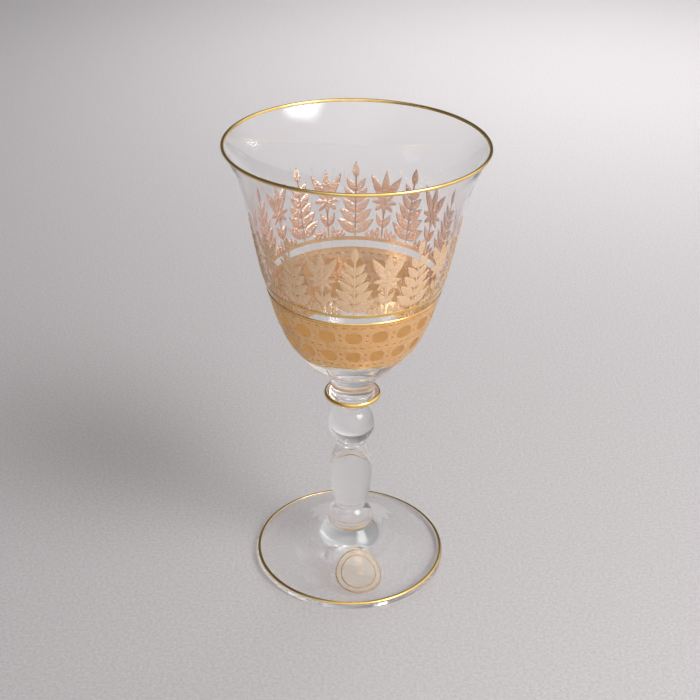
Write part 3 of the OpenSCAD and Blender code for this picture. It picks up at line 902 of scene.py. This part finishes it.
def add_flower(relief, angle, rings=10, round_points=96):
    """A petalled shell: pole, rings of front points, back points that share the outer ring."""
    rho = np.linspace(0, 1, rings + 1)[1:, None]
    phi = np.arange(round_points)[None, :] * 2 * math.pi / round_points
    petal = np.cos(PETALS * phi)
    r = ROSETTE_R * (1 - PETAL_SWING + PETAL_SWING * petal) * rho
    x, y = r * np.sin(phi), ROSETTE_H + r * np.cos(phi)
    beads = BEAD_H * np.cos(BEADS * phi) * np.exp(-(((rho - BEAD_RING) / BEAD_W) ** 2))
    middle = np.exp(-((rho / MIDDLE_R) ** 4))
    edge = 1 - rho**PETAL_EDGE_POWER
    ridge = 0.5 + 0.5 * petal
    raised, pressed = (even + along * ridge + heart * middle
                       for even, along, heart in (FLOWER_RAISED, FLOWER_PRESSED))
    front = -SUNK / 2 + edge * (FRIEZE_T * (raised + beads) + SUNK / 2)
    behind = -SUNK / 2 - edge * pressed
    tops = on_wall(angle, x, frieze_base + y, front)
    backs = on_wall(angle, x, frieze_base + y, behind)
    poles = on_wall(angle, 0, frieze_base + ROSETTE_H, (FRIEZE_T, -FLOWER_BACK))
    points = np.concatenate([poles, tops.reshape(-1, 3), backs[:-1].reshape(-1, 3)])

    def top(k, j):
        return 2 + k * round_points + j % round_points

    def under(k, j):
        return top(k, j) if k == rings - 1 else 2 + (rings + k) * round_points + j % round_points

    faces, which = [], []
    for side, at in ((0, top), (1, under)):
        for j in range(round_points):
            faces.append((side, at(0, j), at(0, j + 1)))
            faces.extend((at(k, j), at(k + 1, j), at(k + 1, j + 1), at(k, j + 1)) for k in range(rings - 1))
        which.extend([side] * (round_points * rings))
    relief.add(points, [face[::-1] if w else face for face, w in zip(faces, which)], which)


print("petals of a flower:", PETALS, "beads:", BEADS)

# %% [markdown]
# The flower stands on a stalk with two narrow leaves, and three crown leaves rise from behind it. The
# crown leaves start at the flower's middle and stay low there, so that the petals cover them.

# %% Ten rosettes
CROWN_LEAF = 11
CROWN_LEAF_W = 3
CROWN_LEAF_LEAN = 32
CROWN_BURIED = 0.3
ROSETTE_LEAF = 6
ROSETTE_LEAF_W = 2.2
ROSETTE_LEAF_H = 3.6
ROSETTE_LEAF_LEAN = 28

rosettes = Relief()
for i in range(SPRIG_COUNT):
    angle = (i + 0.5) * sprig_angle
    add_flower(rosettes, angle)
    add_stalk(rosettes, ROSETTE_H - ROSETTE_R * (1 - 2 * PETAL_SWING), STALK_W, angle, rows=12)
    for side in (-1, 1):
        add_leaf(rosettes, ROSETTE_LEAF, ROSETTE_LEAF_W, (side * ROSETTE_LEAF_LEAN, (0, ROSETTE_LEAF_H)),
                 angle, veins=6, rows=28, across=8)
    for lean in (-CROWN_LEAF_LEAN, 0, CROWN_LEAF_LEAN):
        add_leaf(rosettes, CROWN_LEAF, CROWN_LEAF_W, (lean, (0, ROSETTE_H)), angle, veins=11, rows=48,
                 buried=CROWN_BURIED)
rosettes.piece("frieze_rosettes_gold", "frieze_rosettes")

# %% [markdown]
# ## Tongue leaves
# Short leaves fill the foot of the frieze on both sides of each sprig, and grow towards the rosette.
# Their places are shares of the way from one sprig to the next.

# %% Border of tongue leaves
TONGUE_H = 2.4
TONGUE_W = 1.8
TONGUE_GROWTH = 0.8
TONGUE_PLACES = (0.235, 0.325, 0.415)

tongues = Relief()
for i in range(SPRIG_COUNT):
    for side in (-1, 1):
        for step, share in enumerate(TONGUE_PLACES):
            add_leaf(tongues, TONGUE_H + TONGUE_GROWTH * step + SINK, TONGUE_W, (0, (0, -SINK)),
                     (i + side * share) * sprig_angle, veins=4, rows=18, across=8)
tongues.piece("frieze_border_gold", "frieze_border")

# %% [markdown]
# ## The cane webbing
# The band copies woven chair cane: double strands run round it, slanting strands cross between the
# large openings, and small slots and eyes are left where strands part. It could be woven from single
# strands, but the real band is one sheet of gold with openings. So the openings of one column are
# drawn flat, in millimetres across and up from the column's middle.

# %% Openings of one column
CANE_COLUMNS = 20
CANE_HOLE_H = 4.7
CANE_HOLE_W = 5.5
HOLE_POWER = 2.6
STRAND_W = 0.8
SLOT_H = 0.5
SLOT_W = 1.5
CANE_EYE = 1.0
EYE_DIP = 0.06
EYE_SHOULDER = 0.3

column_angle = 360 / CANE_COLUMNS
cane_low, cane_high = low("cane_web"), high("cane_web")
double_strand = 2 * STRAND_W + SLOT_H
cane_row_h = (cane_high - cane_low - 3 * double_strand) / 2
cane_rows = (cane_low + double_strand + cane_row_h / 2, cane_high - double_strand - cane_row_h / 2)
slot_rows = (cane_low + STRAND_W, cane_low + double_strand + cane_row_h + STRAND_W,
             cane_high - STRAND_W - SLOT_H)
cane_r = float(np.interp(cane_rows[1], wall_z, bowl_outside[:, 0]))
pitch = cane_r * math.radians(column_angle)


def large_opening(z, points=28):
    """A rounded eight-sided opening."""
    t = np.arange(points) * 2 * math.pi / points
    r = (np.abs(np.cos(t)) ** HOLE_POWER + np.abs(np.sin(t)) ** HOLE_POWER) ** (-1 / HOLE_POWER)
    return np.stack([CANE_HOLE_W / 2 * r * np.cos(t), z + CANE_HOLE_H / 2 * r * np.sin(t)], axis=1)


def slot_opening(x, z):
    """A short slot with round ends."""
    t = np.linspace(-math.pi / 2, math.pi / 2, 5)
    end = np.stack([np.cos(t), np.sin(t)], axis=1) * SLOT_H / 2
    right = end + (x + SLOT_W / 2 - SLOT_H / 2, z + SLOT_H / 2)
    left = -end + (x - SLOT_W / 2 + SLOT_H / 2, z + SLOT_H / 2)
    return np.concatenate([right, left])


def eye_opening(x, z, up):
    """A small three-cornered opening beside a crossing."""
    return np.array([(x - CANE_EYE / 2, z), (x, z - EYE_DIP * up), (x + CANE_EYE / 2, z),
                     (x + CANE_EYE * EYE_SHOULDER, z + up * CANE_EYE / 2), (x, z + up * CANE_EYE),
                     (x - CANE_EYE * EYE_SHOULDER, z + up * CANE_EYE / 2)])


openings = []
for z in cane_rows:
    openings.append(large_opening(z))
    openings.extend(eye_opening(-pitch / 2, z + up * STRAND_W, up) for up in (-1, 1))
for z in slot_rows:
    openings.extend(slot_opening(third * pitch / 3, z) for third in (-1, 0, 1))
print("openings in a column:", len(openings))

# %% [markdown]
# Boolean cuts leave long thin faces that shade badly. A constrained triangulation keeps every
# opening's outline and fills the sheet with even triangles. It needs a grid of points without those
# in or close to an opening, so two tests on flat points come first.

# %% Distance to the openings
FAR = 1e9
LEVEL = 1e-12


def edge_distance(points):
    """Distance of flat points to the nearest edge of an opening."""
    nearest = np.full(len(points), FAR)
    for loop in openings:
        for shift in (-pitch, 0, pitch):
            a = loop + (shift, 0)
            d = np.roll(a, -1, axis=0) - a
            to = points[:, None, :] - a[None]
            t = np.clip((to * d).sum(-1) / (d * d).sum(-1), 0, 1)
            nearest = np.minimum(nearest, np.linalg.norm(to - t[..., None] * d, axis=-1).min(axis=1))
    return nearest


def in_opening(points):
    """True for flat points inside an opening, by counting crossings of its outline."""
    inside = np.zeros(len(points), bool)
    for loop in openings:
        a, b = loop, np.roll(loop, -1, axis=0)
        x, y = points[:, :1], points[:, 1:]
        crosses = (a[:, 1] > y) != (b[:, 1] > y)
        rise = np.where(b[:, 1] == a[:, 1], LEVEL, b[:, 1] - a[:, 1])
        at = a[:, 0] + (y - a[:, 1]) / rise * (b[:, 0] - a[:, 0])
        inside |= (crosses & (x < at)).sum(axis=1) % 2 == 1
    return inside


print("middle of an opening lies inside it:", bool(in_opening(np.array([(0.0, cane_rows[0])]))[0]))

# %% [markdown]
# The column's left edge is shifted a little over a degree, so that no opening crosses it. The front
# gets a fine grid, because its strands are round. The back is flat and needs no points but its rim
# and its openings.

# %% Triangulating one column
CELL = 0.26
EDGE_CLEAR = 0.12
EDGE_SHIFT = 1.2
MERGE = 1e-5
left_edge = -pitch * (0.5 + EDGE_SHIFT / column_angle)
grid_x = left_edge + np.linspace(0, pitch, round(pitch / CELL) + 1)
grid_z = np.linspace(cane_low, cane_high, round((cane_high - cane_low) / CELL) + 1)


def cut_sheet(fill):
    """Points and triangles of a column with its openings cut out."""
    gx, gz = np.meshgrid(grid_x, grid_z, indexing="ij")
    rim = (gx == grid_x[0]) | (gx == grid_x[-1]) | (gz == grid_z[0]) | (gz == grid_z[-1])
    grid = np.stack([gx.ravel(), gz.ravel()], axis=1)
    keep = rim.ravel().copy()
    if fill:
        keep |= (edge_distance(grid) > EDGE_CLEAR) & ~in_opening(grid)
    flat = [grid[keep]] + openings
    starts = np.cumsum([0] + [len(part) for part in flat])
    edges = [(int(s + i), int(s + (i + 1) % len(loop)))
             for s, loop in zip(starts[1:], openings) for i in range(len(loop))]
    made = delaunay_2d_cdt([Vector(p) for p in np.concatenate(flat)], edges, [], 0, MERGE, False)
    points = np.array([tuple(p) for p in made[0]])
    triangles = np.array(made[2])
    return points, triangles[~in_opening(points[triangles].mean(axis=1))]


front_flat, front_triangles = cut_sheet(True)
back_flat, back_triangles = cut_sheet(False)
print("column triangles in front and behind:", len(front_triangles), len(back_triangles))

# %% [markdown]
# Height over the ground comes next. A strand is round, so the sheet rises like a quarter circle
# from the edge of an opening. Shallow grooves part the double strands and run beside the slanting
# ones, which cross halfway between two openings.

# %% Heights over the ground
STRAND_RISE = 0.42
GROOVE_W = 0.16
GROOVE = 0.4
GROOVE_OFF = 0.62 * STRAND_W
LEAST_RISE = 0.12
row_pitch = cane_rows[1] - cane_rows[0]
slope_angle = math.atan(row_pitch / pitch)


def groove(distance):
    return np.exp(-((distance / GROOVE_W) ** 2))


def strand_height(flat):
    """Height of the webbing over its ground at flat points."""
    rise = np.clip(edge_distance(flat) / STRAND_RISE, 0, 1)
    height = np.sqrt(1 - (1 - rise) ** 2)
    cut = np.zeros(len(flat))
    for z in slot_rows:
        cut = np.maximum(cut, groove(flat[:, 1] - z - SLOT_H / 2))
    for z in cane_rows:
        near = np.abs(flat[:, 1] - z) < row_pitch / 2
        for slope in (-1, 1):
            for middle in (-1.5, -0.5, 0.5, 1.5):
                run = flat[:, 0] - middle * pitch
                off = (flat[:, 1] - z - slope * run * row_pitch / pitch) * math.cos(slope_angle)
                cut = np.maximum(cut, np.where(near, groove(np.abs(off) - GROOVE_OFF), 0))
    return WEB_T * np.maximum(height * (1 - GROOVE * cut), LEAST_RISE)


front_height = strand_height(front_flat)
print("webbing stands up to mm:", round(float(front_height.max()), 3))

# %% [markdown]
# The column is now repeated. Points on its right edge are the next column's points on the left
# edge, so they are shared and not doubled. The column is bent round the bowl by its angle, so that
# twenty of them close the ring without a seam.

# %% Repeating the column
NEAR = 1e-4


def around_bowl(flat, lift):
    """Flat column points on the wall, for every column in turn."""
    columns = []
    on = on_wall(0, np.zeros(len(flat)), flat[:, 1], lift)
    for i in range(CANE_COLUMNS):
        side = flat[:, 0] / cane_r + math.radians(i * column_angle)
        columns.append(np.stack([-on[:, 1] * np.sin(side), on[:, 1] * np.cos(side), on[:, 2]], axis=1))
    return np.concatenate(columns)


def on_edge(flat, x):
    """Numbers of the flat points on an upright edge of the column, from below upwards."""
    found = np.flatnonzero(np.abs(flat[:, 0] - x) < NEAR)
    return found[np.argsort(flat[found, 1])]


def numbered(flat, first):
    """Point numbers of each column, whose right edge is the left edge of the next."""
    numbers = first + np.arange(CANE_COLUMNS * len(flat)).reshape(CANE_COLUMNS, -1)
    left, right = on_edge(flat, grid_x[0]), on_edge(flat, grid_x[-1])
    numbers[:, right] = np.roll(numbers, -1, axis=0)[:, left]
    return numbers


def rim_edges(flat, triangles):
    """Edges of a column with a triangle on one side only, apart from those shared with a neighbour."""
    sides = {(int(t[k]), int(t[k - 2])) for t in triangles for k in range(3)}
    shared = [set(on_edge(flat, x)) for x in (grid_x[0], grid_x[-1])]
    lone = sorted(edge for edge in sides if edge[::-1] not in sides)
    return [edge for edge in lone if not any(edge[0] in s and edge[1] in s for s in shared)]


front_rim = rim_edges(front_flat, front_triangles)
print("edges along the openings of a column:", len(front_rim))

# %% [markdown]
# The back of the webbing is pressed through the amber ground, because the weave also shows from
# inside the bowl. A wall of small faces joins front and back along each opening, which closes the
# mesh. Points that no face uses are left out. The webbing is burnished gold, paler behind.

# %% The finished web
WEB_BACK = -0.05
WEB_SMOOTH = 50
web_gold = gold_finish("web_gold", pale=(0.98, 0.61, 0.29), deep=(0.90, 0.51, 0.22),
                       smooth=0.16, dull=0.30, grain=400, depth=0.00003, metal=0.75)
web_back = gold_finish("web_back", pale=(0.98, 0.79, 0.57), deep=(0.91, 0.67, 0.45),
                       smooth=0.10, dull=0.24, grain=400, depth=0.00003, metal=0.8)

fronts = numbered(front_flat, 0)
backs = numbered(back_flat, fronts.size)
front_faces = [tuple(row[t]) for row in fronts for t in front_triangles]
wall_faces = []
for a, b in front_rim:
    behind_a, behind_b = (int(np.linalg.norm(back_flat - front_flat[k], axis=1).argmin()) for k in (a, b))
    wall_faces.extend((f[b], f[a], r[behind_a], r[behind_b]) for f, r in zip(fronts, backs))
back_faces = [tuple(row[t[::-1]]) for row in backs for t in back_triangles]
web_faces = front_faces + wall_faces + back_faces
web_sides = [0] * (len(front_faces) + len(wall_faces)) + [1] * len(back_faces)

web_points = np.concatenate([around_bowl(front_flat, GOLD_T + front_height),
                             around_bowl(back_flat, np.full(len(back_flat), WEB_BACK))])
used = np.unique(np.concatenate([np.asarray(face) for face in web_faces]))
new_number = np.full(len(web_points), -1)
new_number[used] = np.arange(len(used))
web_faces = [tuple(new_number[list(face)]) for face in web_faces]
make_piece("cane_web_gold", "cane_web", web_points[used], web_faces,
           [web_gold, web_back], web_sides, sharp=WEB_SMOOTH)

# %% [markdown]
# ## The seal
# A round clear film is stuck on the foot, with two printed rings. A flat disc would float over the
# hollow slope, so its points are set on the foot's outline. The film is glass-like with a little
# cloud, and its print is a dull, brownish gold.

# %% Seal finishes
FILM_COLOUR = (0.97, 0.92, 0.84)
FILM_TINT = (0.98, 0.96, 0.93)


def clear_film_finish():
    material, tree, shader = finish("clear_film")
    shader.inputs["Base Color"].default_value = (*FILM_COLOUR, 1)
    shader.inputs["IOR"].default_value = 1.45
    shader.inputs["Transmission Weight"].default_value = 0.93
    cloud = noise(tree, scale=900, detail=3.0)
    tree.links.new(ranged(tree, cloud, at_low=0.08, at_high=0.22), shader.inputs["Roughness"])
    lamp_rays_pass(tree, shader.outputs["BSDF"], FILM_TINT)
    return material


clear_film = clear_film_finish()
print_gold = gold_finish("print_gold", pale=(0.66, 0.45, 0.22), deep=(0.50, 0.31, 0.14),
                         smooth=0.22, dull=0.36, grain=900, depth=0.00002)
print("seal finishes:", clear_film.name, print_gold.name)

# %% [markdown]
# Film and rings are both made of rings of points round the seal's middle, each with a radius and a
# lift off the foot. Joined one to the next, they give a disc where the first ring has no radius, and
# otherwise a closed ring. Blender's own circles can't follow the slope.

# %% Rings on the foot
SEAL_REACH = 22
SEAL_ANGLE = math.radians(9)
SEAL_AROUND = 144
seal_middle = SEAL_REACH * np.array([math.sin(SEAL_ANGLE), -math.cos(SEAL_ANGLE)])


def on_foot(radius, lift):
    """A ring of points round the seal's middle, set on the foot and lifted off it."""
    t = np.arange(SEAL_AROUND) * 2 * math.pi / SEAL_AROUND
    x, y = seal_middle[0] + radius * np.cos(t), seal_middle[1] + radius * np.sin(t)
    z = np.interp(np.hypot(x, y), foot_top[::-1, 0], foot_top[::-1, 1])
    return np.stack([x, y, z + lift], axis=1)


def ring_piece(name, node, section, material):
    """Rings of points joined one to the next. Where the first has no radius, the piece is a disc."""
    disc = section[0][0] == 0
    rings = [on_foot(radius, lift)[:1] if radius == 0 else on_foot(radius, lift)
             for radius, lift in section]
    starts = np.cumsum([0] + [len(ring) for ring in rings])
    pairs = list(zip(starts, starts[1:-1])) if disc else list(zip(starts[:-1], np.roll(starts[:-1], -1)))
    faces = []
    for a, b in pairs:
        for k in range(SEAL_AROUND):
            j = (k + 1) % SEAL_AROUND
            if disc and a == 0:
                faces.append((a, b + k, b + j))
            elif disc and b == starts[-2]:
                faces.append((a + k, b, a + j))
            else:
                faces.append((a + k, b + k, b + j, a + j))
    return make_piece(name, node, np.concatenate(rings), faces, [material])


print("seal middle in mm:", seal_middle.round(2))

# %% [markdown]
# The film is a thin disc whose edge is rounded by one ring halfway up. The print lies on it as two
# narrow rings with soft shoulders. A printed ring has no height to speak of, but a picture on the
# film would blur close up, so both are meshes, sunk a hair into the film.

# %% Film and printed rings
SEAL_D = 17.4
SEAL_T = 0.1
SEAL_RING_W = 0.4
SEAL_MARGIN = 0.3
SEAL_BAND_W = 1.5
RING_T = 0.05
RING_SOFT = SEAL_RING_W / 5
FILM_FLAT = 0.985
FILM_RINGS = 12

seal_r = SEAL_D / 2
film_top = [(seal_r * share, SEAL_T) for share in np.linspace(0, FILM_FLAT, FILM_RINGS)]
film_under = [(seal_r * share, -SUNK) for share in np.linspace(FILM_FLAT, 0, FILM_RINGS)]
film_edge = [(seal_r, SEAL_T / 2)]
ring_piece("foot_seal_film", "foot_seal", film_top + film_edge + film_under, clear_film)

ring_low, ring_middle, ring_high = SEAL_T - SUNK, SEAL_T + RING_T / 2, SEAL_T + RING_T
for name, outside in (("seal_outer_ring", seal_r - SEAL_MARGIN),
                      ("seal_inner_ring", seal_r - SEAL_MARGIN - SEAL_RING_W - SEAL_BAND_W)):
    inside = outside - SEAL_RING_W
    inner_side = [(inside, ring_low), (inside, ring_middle), (inside + RING_SOFT, ring_high)]
    outer_side = [(outside - RING_SOFT, ring_high), (outside, ring_middle), (outside, ring_low)]
    ring_piece(name, "seal_rings", inner_side + outer_side, print_gold)

# %% [markdown]
# ## The paper floor
# The goblet stands on a wide sheet of pale grey paper with a faint grain, which also makes the
# background. A curved backdrop isn't needed, because the camera looks down and sees no horizon. The
# sheet lies a hair under the foot, so that glass and paper don't share a plane.

# %% Paper floor
FLOOR_HALF = 3.0
FLOOR_Z = -0.00004
PAPER_DEEP = (0.55, 0.523, 0.530)
PAPER_PALE = (0.67, 0.640, 0.647)


def paper_finish():
    material, tree, shader = finish("grey_paper")
    shader.inputs["Roughness"].default_value = 0.9
    fibre = noise(tree, scale=900, detail=3.0)
    tree.links.new(blended(tree, fibre, PAPER_DEEP, PAPER_PALE), shader.inputs["Base Color"])
    waved(tree, shader, noise(tree, scale=1400, detail=3.0), strength=0.2, depth=0.0002)
    return material


floor_mesh = bpy.data.meshes.new("paper_floor")
floor_corners = [(x * FLOOR_HALF, y * FLOOR_HALF, FLOOR_Z) for x, y in ((-1, -1), (1, -1), (1, 1), (-1, 1))]
floor_mesh.from_pydata(floor_corners, [], [(0, 1, 2, 3)])
floor_mesh.materials.append(paper_finish())
floor = bpy.data.objects.new("paper_floor", floor_mesh)
scene.collection.objects.link(floor)
print("paper floor half width in m:", FLOOR_HALF)

# %% [markdown]
# ## The key lamp
# One large soft lamp hangs on the right, a little in front of the goblet, and throws the long pale
# shadow to the left. A square area lamp has hard edges, which glass would mirror as a bright frame.
# Nodes in the lamp dim it towards its edges, by how far a point lies from the lamp's middle.

# %% Key lamp
KEY_TOWARDS = Vector((0.59, -0.375, 0.715)).normalized()
KEY_DISTANCE = 1.5
KEY_AIM = Vector((0, 0, 0.06))
KEY_SIZE = 1.1
KEY_POWER = 38.0
KEY_FADE = 0.8


def soft_lamp(name, place, aim, size, power):
    """A square area lamp at a place that shines at a point."""
    lamp = bpy.data.lights.new(name, "AREA")
    lamp.shape = "SQUARE"
    lamp.size = size
    lamp.energy = power
    holder = bpy.data.objects.new(name, lamp)
    holder.location = place
    holder.rotation_mode = "QUATERNION"
    holder.rotation_quaternion = (Vector(aim) - Vector(place)).to_track_quat("-Z", "Y")
    scene.collection.objects.link(holder)
    print(name, "at", [round(v, 2) for v in holder.location])
    return holder


def soft_edges(lamp, share):
    """Dims a square lamp over a share of its half width. Its own places run from 0 to 1 across it."""
    lamp.use_nodes = True
    tree = lamp.node_tree
    place = tree.nodes.new("ShaderNodeNewGeometry")
    off = tree.nodes.new("ShaderNodeVectorMath")
    off.operation = "SUBTRACT"
    off.inputs[1].default_value = (0.5, 0.5, 0.5)
    tree.links.new(place.outputs["Parametric"], off.inputs[0])
    size = tree.nodes.new("ShaderNodeVectorMath")
    size.operation = "ABSOLUTE"
    tree.links.new(off.outputs["Vector"], size.inputs[0])
    parts = tree.nodes.new("ShaderNodeSeparateXYZ")
    tree.links.new(size.outputs["Vector"], parts.inputs["Vector"])
    both = tree.nodes.new("ShaderNodeMath")
    both.operation = "MULTIPLY"
    for number, axis in enumerate(("X", "Y")):
        fade = tree.nodes.new("ShaderNodeMapRange")
        fade.interpolation_type = "SMOOTHSTEP"
        fade.inputs["From Min"].default_value = 0.5
        fade.inputs["From Max"].default_value = 0.5 * (1 - share)
        tree.links.new(parts.outputs[axis], fade.inputs["Value"])
        tree.links.new(fade.outputs["Result"], both.inputs[number])
    tree.links.new(both.outputs["Value"], tree.nodes["Emission"].inputs["Strength"])


key_box = soft_lamp("key_box", KEY_AIM + KEY_DISTANCE * KEY_TOWARDS, KEY_AIM, KEY_SIZE, KEY_POWER)
soft_edges(key_box.data, KEY_FADE)

# %% [markdown]
# ## The small lamps
# Three weak lamps even out the rest: one lights the paper behind the goblet, one the paper beside
# it, and one, behind the camera, fills the front. A brighter world would do this too, but would also
# wash out the shadow. Metal and glass don't mirror these lamps. The fill has a narrow beam, so that
# it doesn't burn out the paper under it.

# %% Small lamps
FILL_BEAM = math.radians(80)

back_box = soft_lamp("back_box", place=(0.20, 0.65, 0.50), aim=(0.25, 0.70, 0.0), size=0.5, power=3.4)
side_box = soft_lamp("side_box", place=(0.30, -0.25, 0.225), aim=(0.2, 0.0, 0.0), size=0.3, power=0.5)
fill_box = soft_lamp("fill_box", place=(-0.02, -0.85, 0.24), aim=(0.0, 0.0, 0.1), size=0.3, power=0.5)
fill_box.data.spread = FILL_BEAM
for lamp in (back_box, side_box, fill_box):
    lamp.visible_glossy = False
    lamp.visible_transmission = False

# %% [markdown]
# ## The room
# Gold and glass are mostly made of what they mirror. An even world would leave them flat, and a
# picture of a room would need a file. So the world lights evenly, but rays that come off metal or
# out of glass see a room that is bright towards the front right, where the key hangs, and darkens
# away from it. That gives the gold its dark and bright sides and the glass its dark edges.

# %% Studio world
BRIGHT_SIDE = Vector((0.7, -0.5, 0.5)).normalized()
AIR = 0.12
MIRRORED_ROOM = ((0.05, 0.12), (0.6, 1.15))
ROOM_THROUGH_GLASS = ((-0.6, 0.18), (0.8, 0.9))


def room_light(tree, towards, ends):
    """Light that grows from one facing to another. Each end is a facing and a light."""
    room = tree.nodes.new("ShaderNodeMapRange")
    room.inputs["From Min"].default_value = ends[0][0]
    room.inputs["From Max"].default_value = ends[1][0]
    room.inputs["To Min"].default_value = ends[0][1]
    room.inputs["To Max"].default_value = ends[1][1]
    tree.links.new(towards, room.inputs["Value"])
    return room.outputs["Result"]


def studio_world():
    """Grey air that lights evenly, and a one-sided room for metal and glass."""
    world = bpy.data.worlds.new("studio")
    world.use_nodes = True
    tree = world.node_tree
    path = tree.nodes.new("ShaderNodeLightPath")
    place = tree.nodes.new("ShaderNodeTexCoord")
    towards = tree.nodes.new("ShaderNodeVectorMath")
    towards.operation = "DOT_PRODUCT"
    towards.inputs[1].default_value = BRIGHT_SIDE
    tree.links.new(place.outputs["Generated"], towards.inputs[0])
    facing = towards.outputs["Value"]
    seen = tree.nodes.new("ShaderNodeMix")
    seen.inputs["A"].default_value = AIR
    tree.links.new(path.outputs["Is Glossy Ray"], seen.inputs["Factor"])
    tree.links.new(room_light(tree, facing, MIRRORED_ROOM), seen.inputs["B"])
    through = tree.nodes.new("ShaderNodeMix")
    tree.links.new(path.outputs["Is Transmission Ray"], through.inputs["Factor"])
    tree.links.new(seen.outputs["Result"], through.inputs["A"])
    tree.links.new(room_light(tree, facing, ROOM_THROUGH_GLASS), through.inputs["B"])
    tree.links.new(through.outputs["Result"], tree.nodes["Background"].inputs["Color"])
    return world


scene.world = studio_world()
print("world:", scene.world.name)

# %% [markdown]
# A ray through the goblet meets many walls: both sides of the bowl, the gold on them and the stem.
# With the usual number of bounces it would stop halfway and leave black patches, so more are allowed.

# %% Bounces
scene.cycles.max_bounces = 24
scene.cycles.glossy_bounces = 16
scene.cycles.transmission_bounces = 24
scene.cycles.transparent_max_bounces = 32
print("bounces:", scene.cycles.max_bounces)

# %% [markdown]
# ## The camera
# The camera stands half a metre from the foot and looks down at about thirty degrees, with a hair of
# roll. A Track To constraint would aim it, but can't roll. So its axes are worked out from three angles and
# written into its matrix.

# %% Camera
CAMERA_PLACE = Vector((0, -0.3885, 0.3092))
CAMERA_YAW = math.radians(-0.161)
CAMERA_PITCH = math.radians(29.621)
CAMERA_ROLL = math.radians(0.942)
LENS = 65.23
SENSOR = 36
NEAREST = 0.01

ahead = Vector((math.sin(CAMERA_YAW) * math.cos(CAMERA_PITCH),
                math.cos(CAMERA_YAW) * math.cos(CAMERA_PITCH),
                -math.sin(CAMERA_PITCH)))
right = Vector((math.cos(CAMERA_YAW), -math.sin(CAMERA_YAW), 0))
above = right.cross(ahead)
rolled_right = right * math.cos(CAMERA_ROLL) + above * math.sin(CAMERA_ROLL)
rolled_above = above * math.cos(CAMERA_ROLL) - right * math.sin(CAMERA_ROLL)

camera_data = bpy.data.cameras.new("camera")
camera_data.lens = LENS
camera_data.sensor_width = SENSOR
camera_data.clip_start = NEAREST
camera = bpy.data.objects.new("camera", camera_data)
camera_rows = [(rolled_right[i], rolled_above[i], -ahead[i], CAMERA_PLACE[i]) for i in range(3)]
camera.matrix_world = Matrix(camera_rows + [(0, 0, 0, 1)])
scene.collection.objects.link(camera)
scene.camera = camera
scene.view_settings.view_transform = "Standard"
print("camera height in mm:", round(camera.location.z / MM, 1))
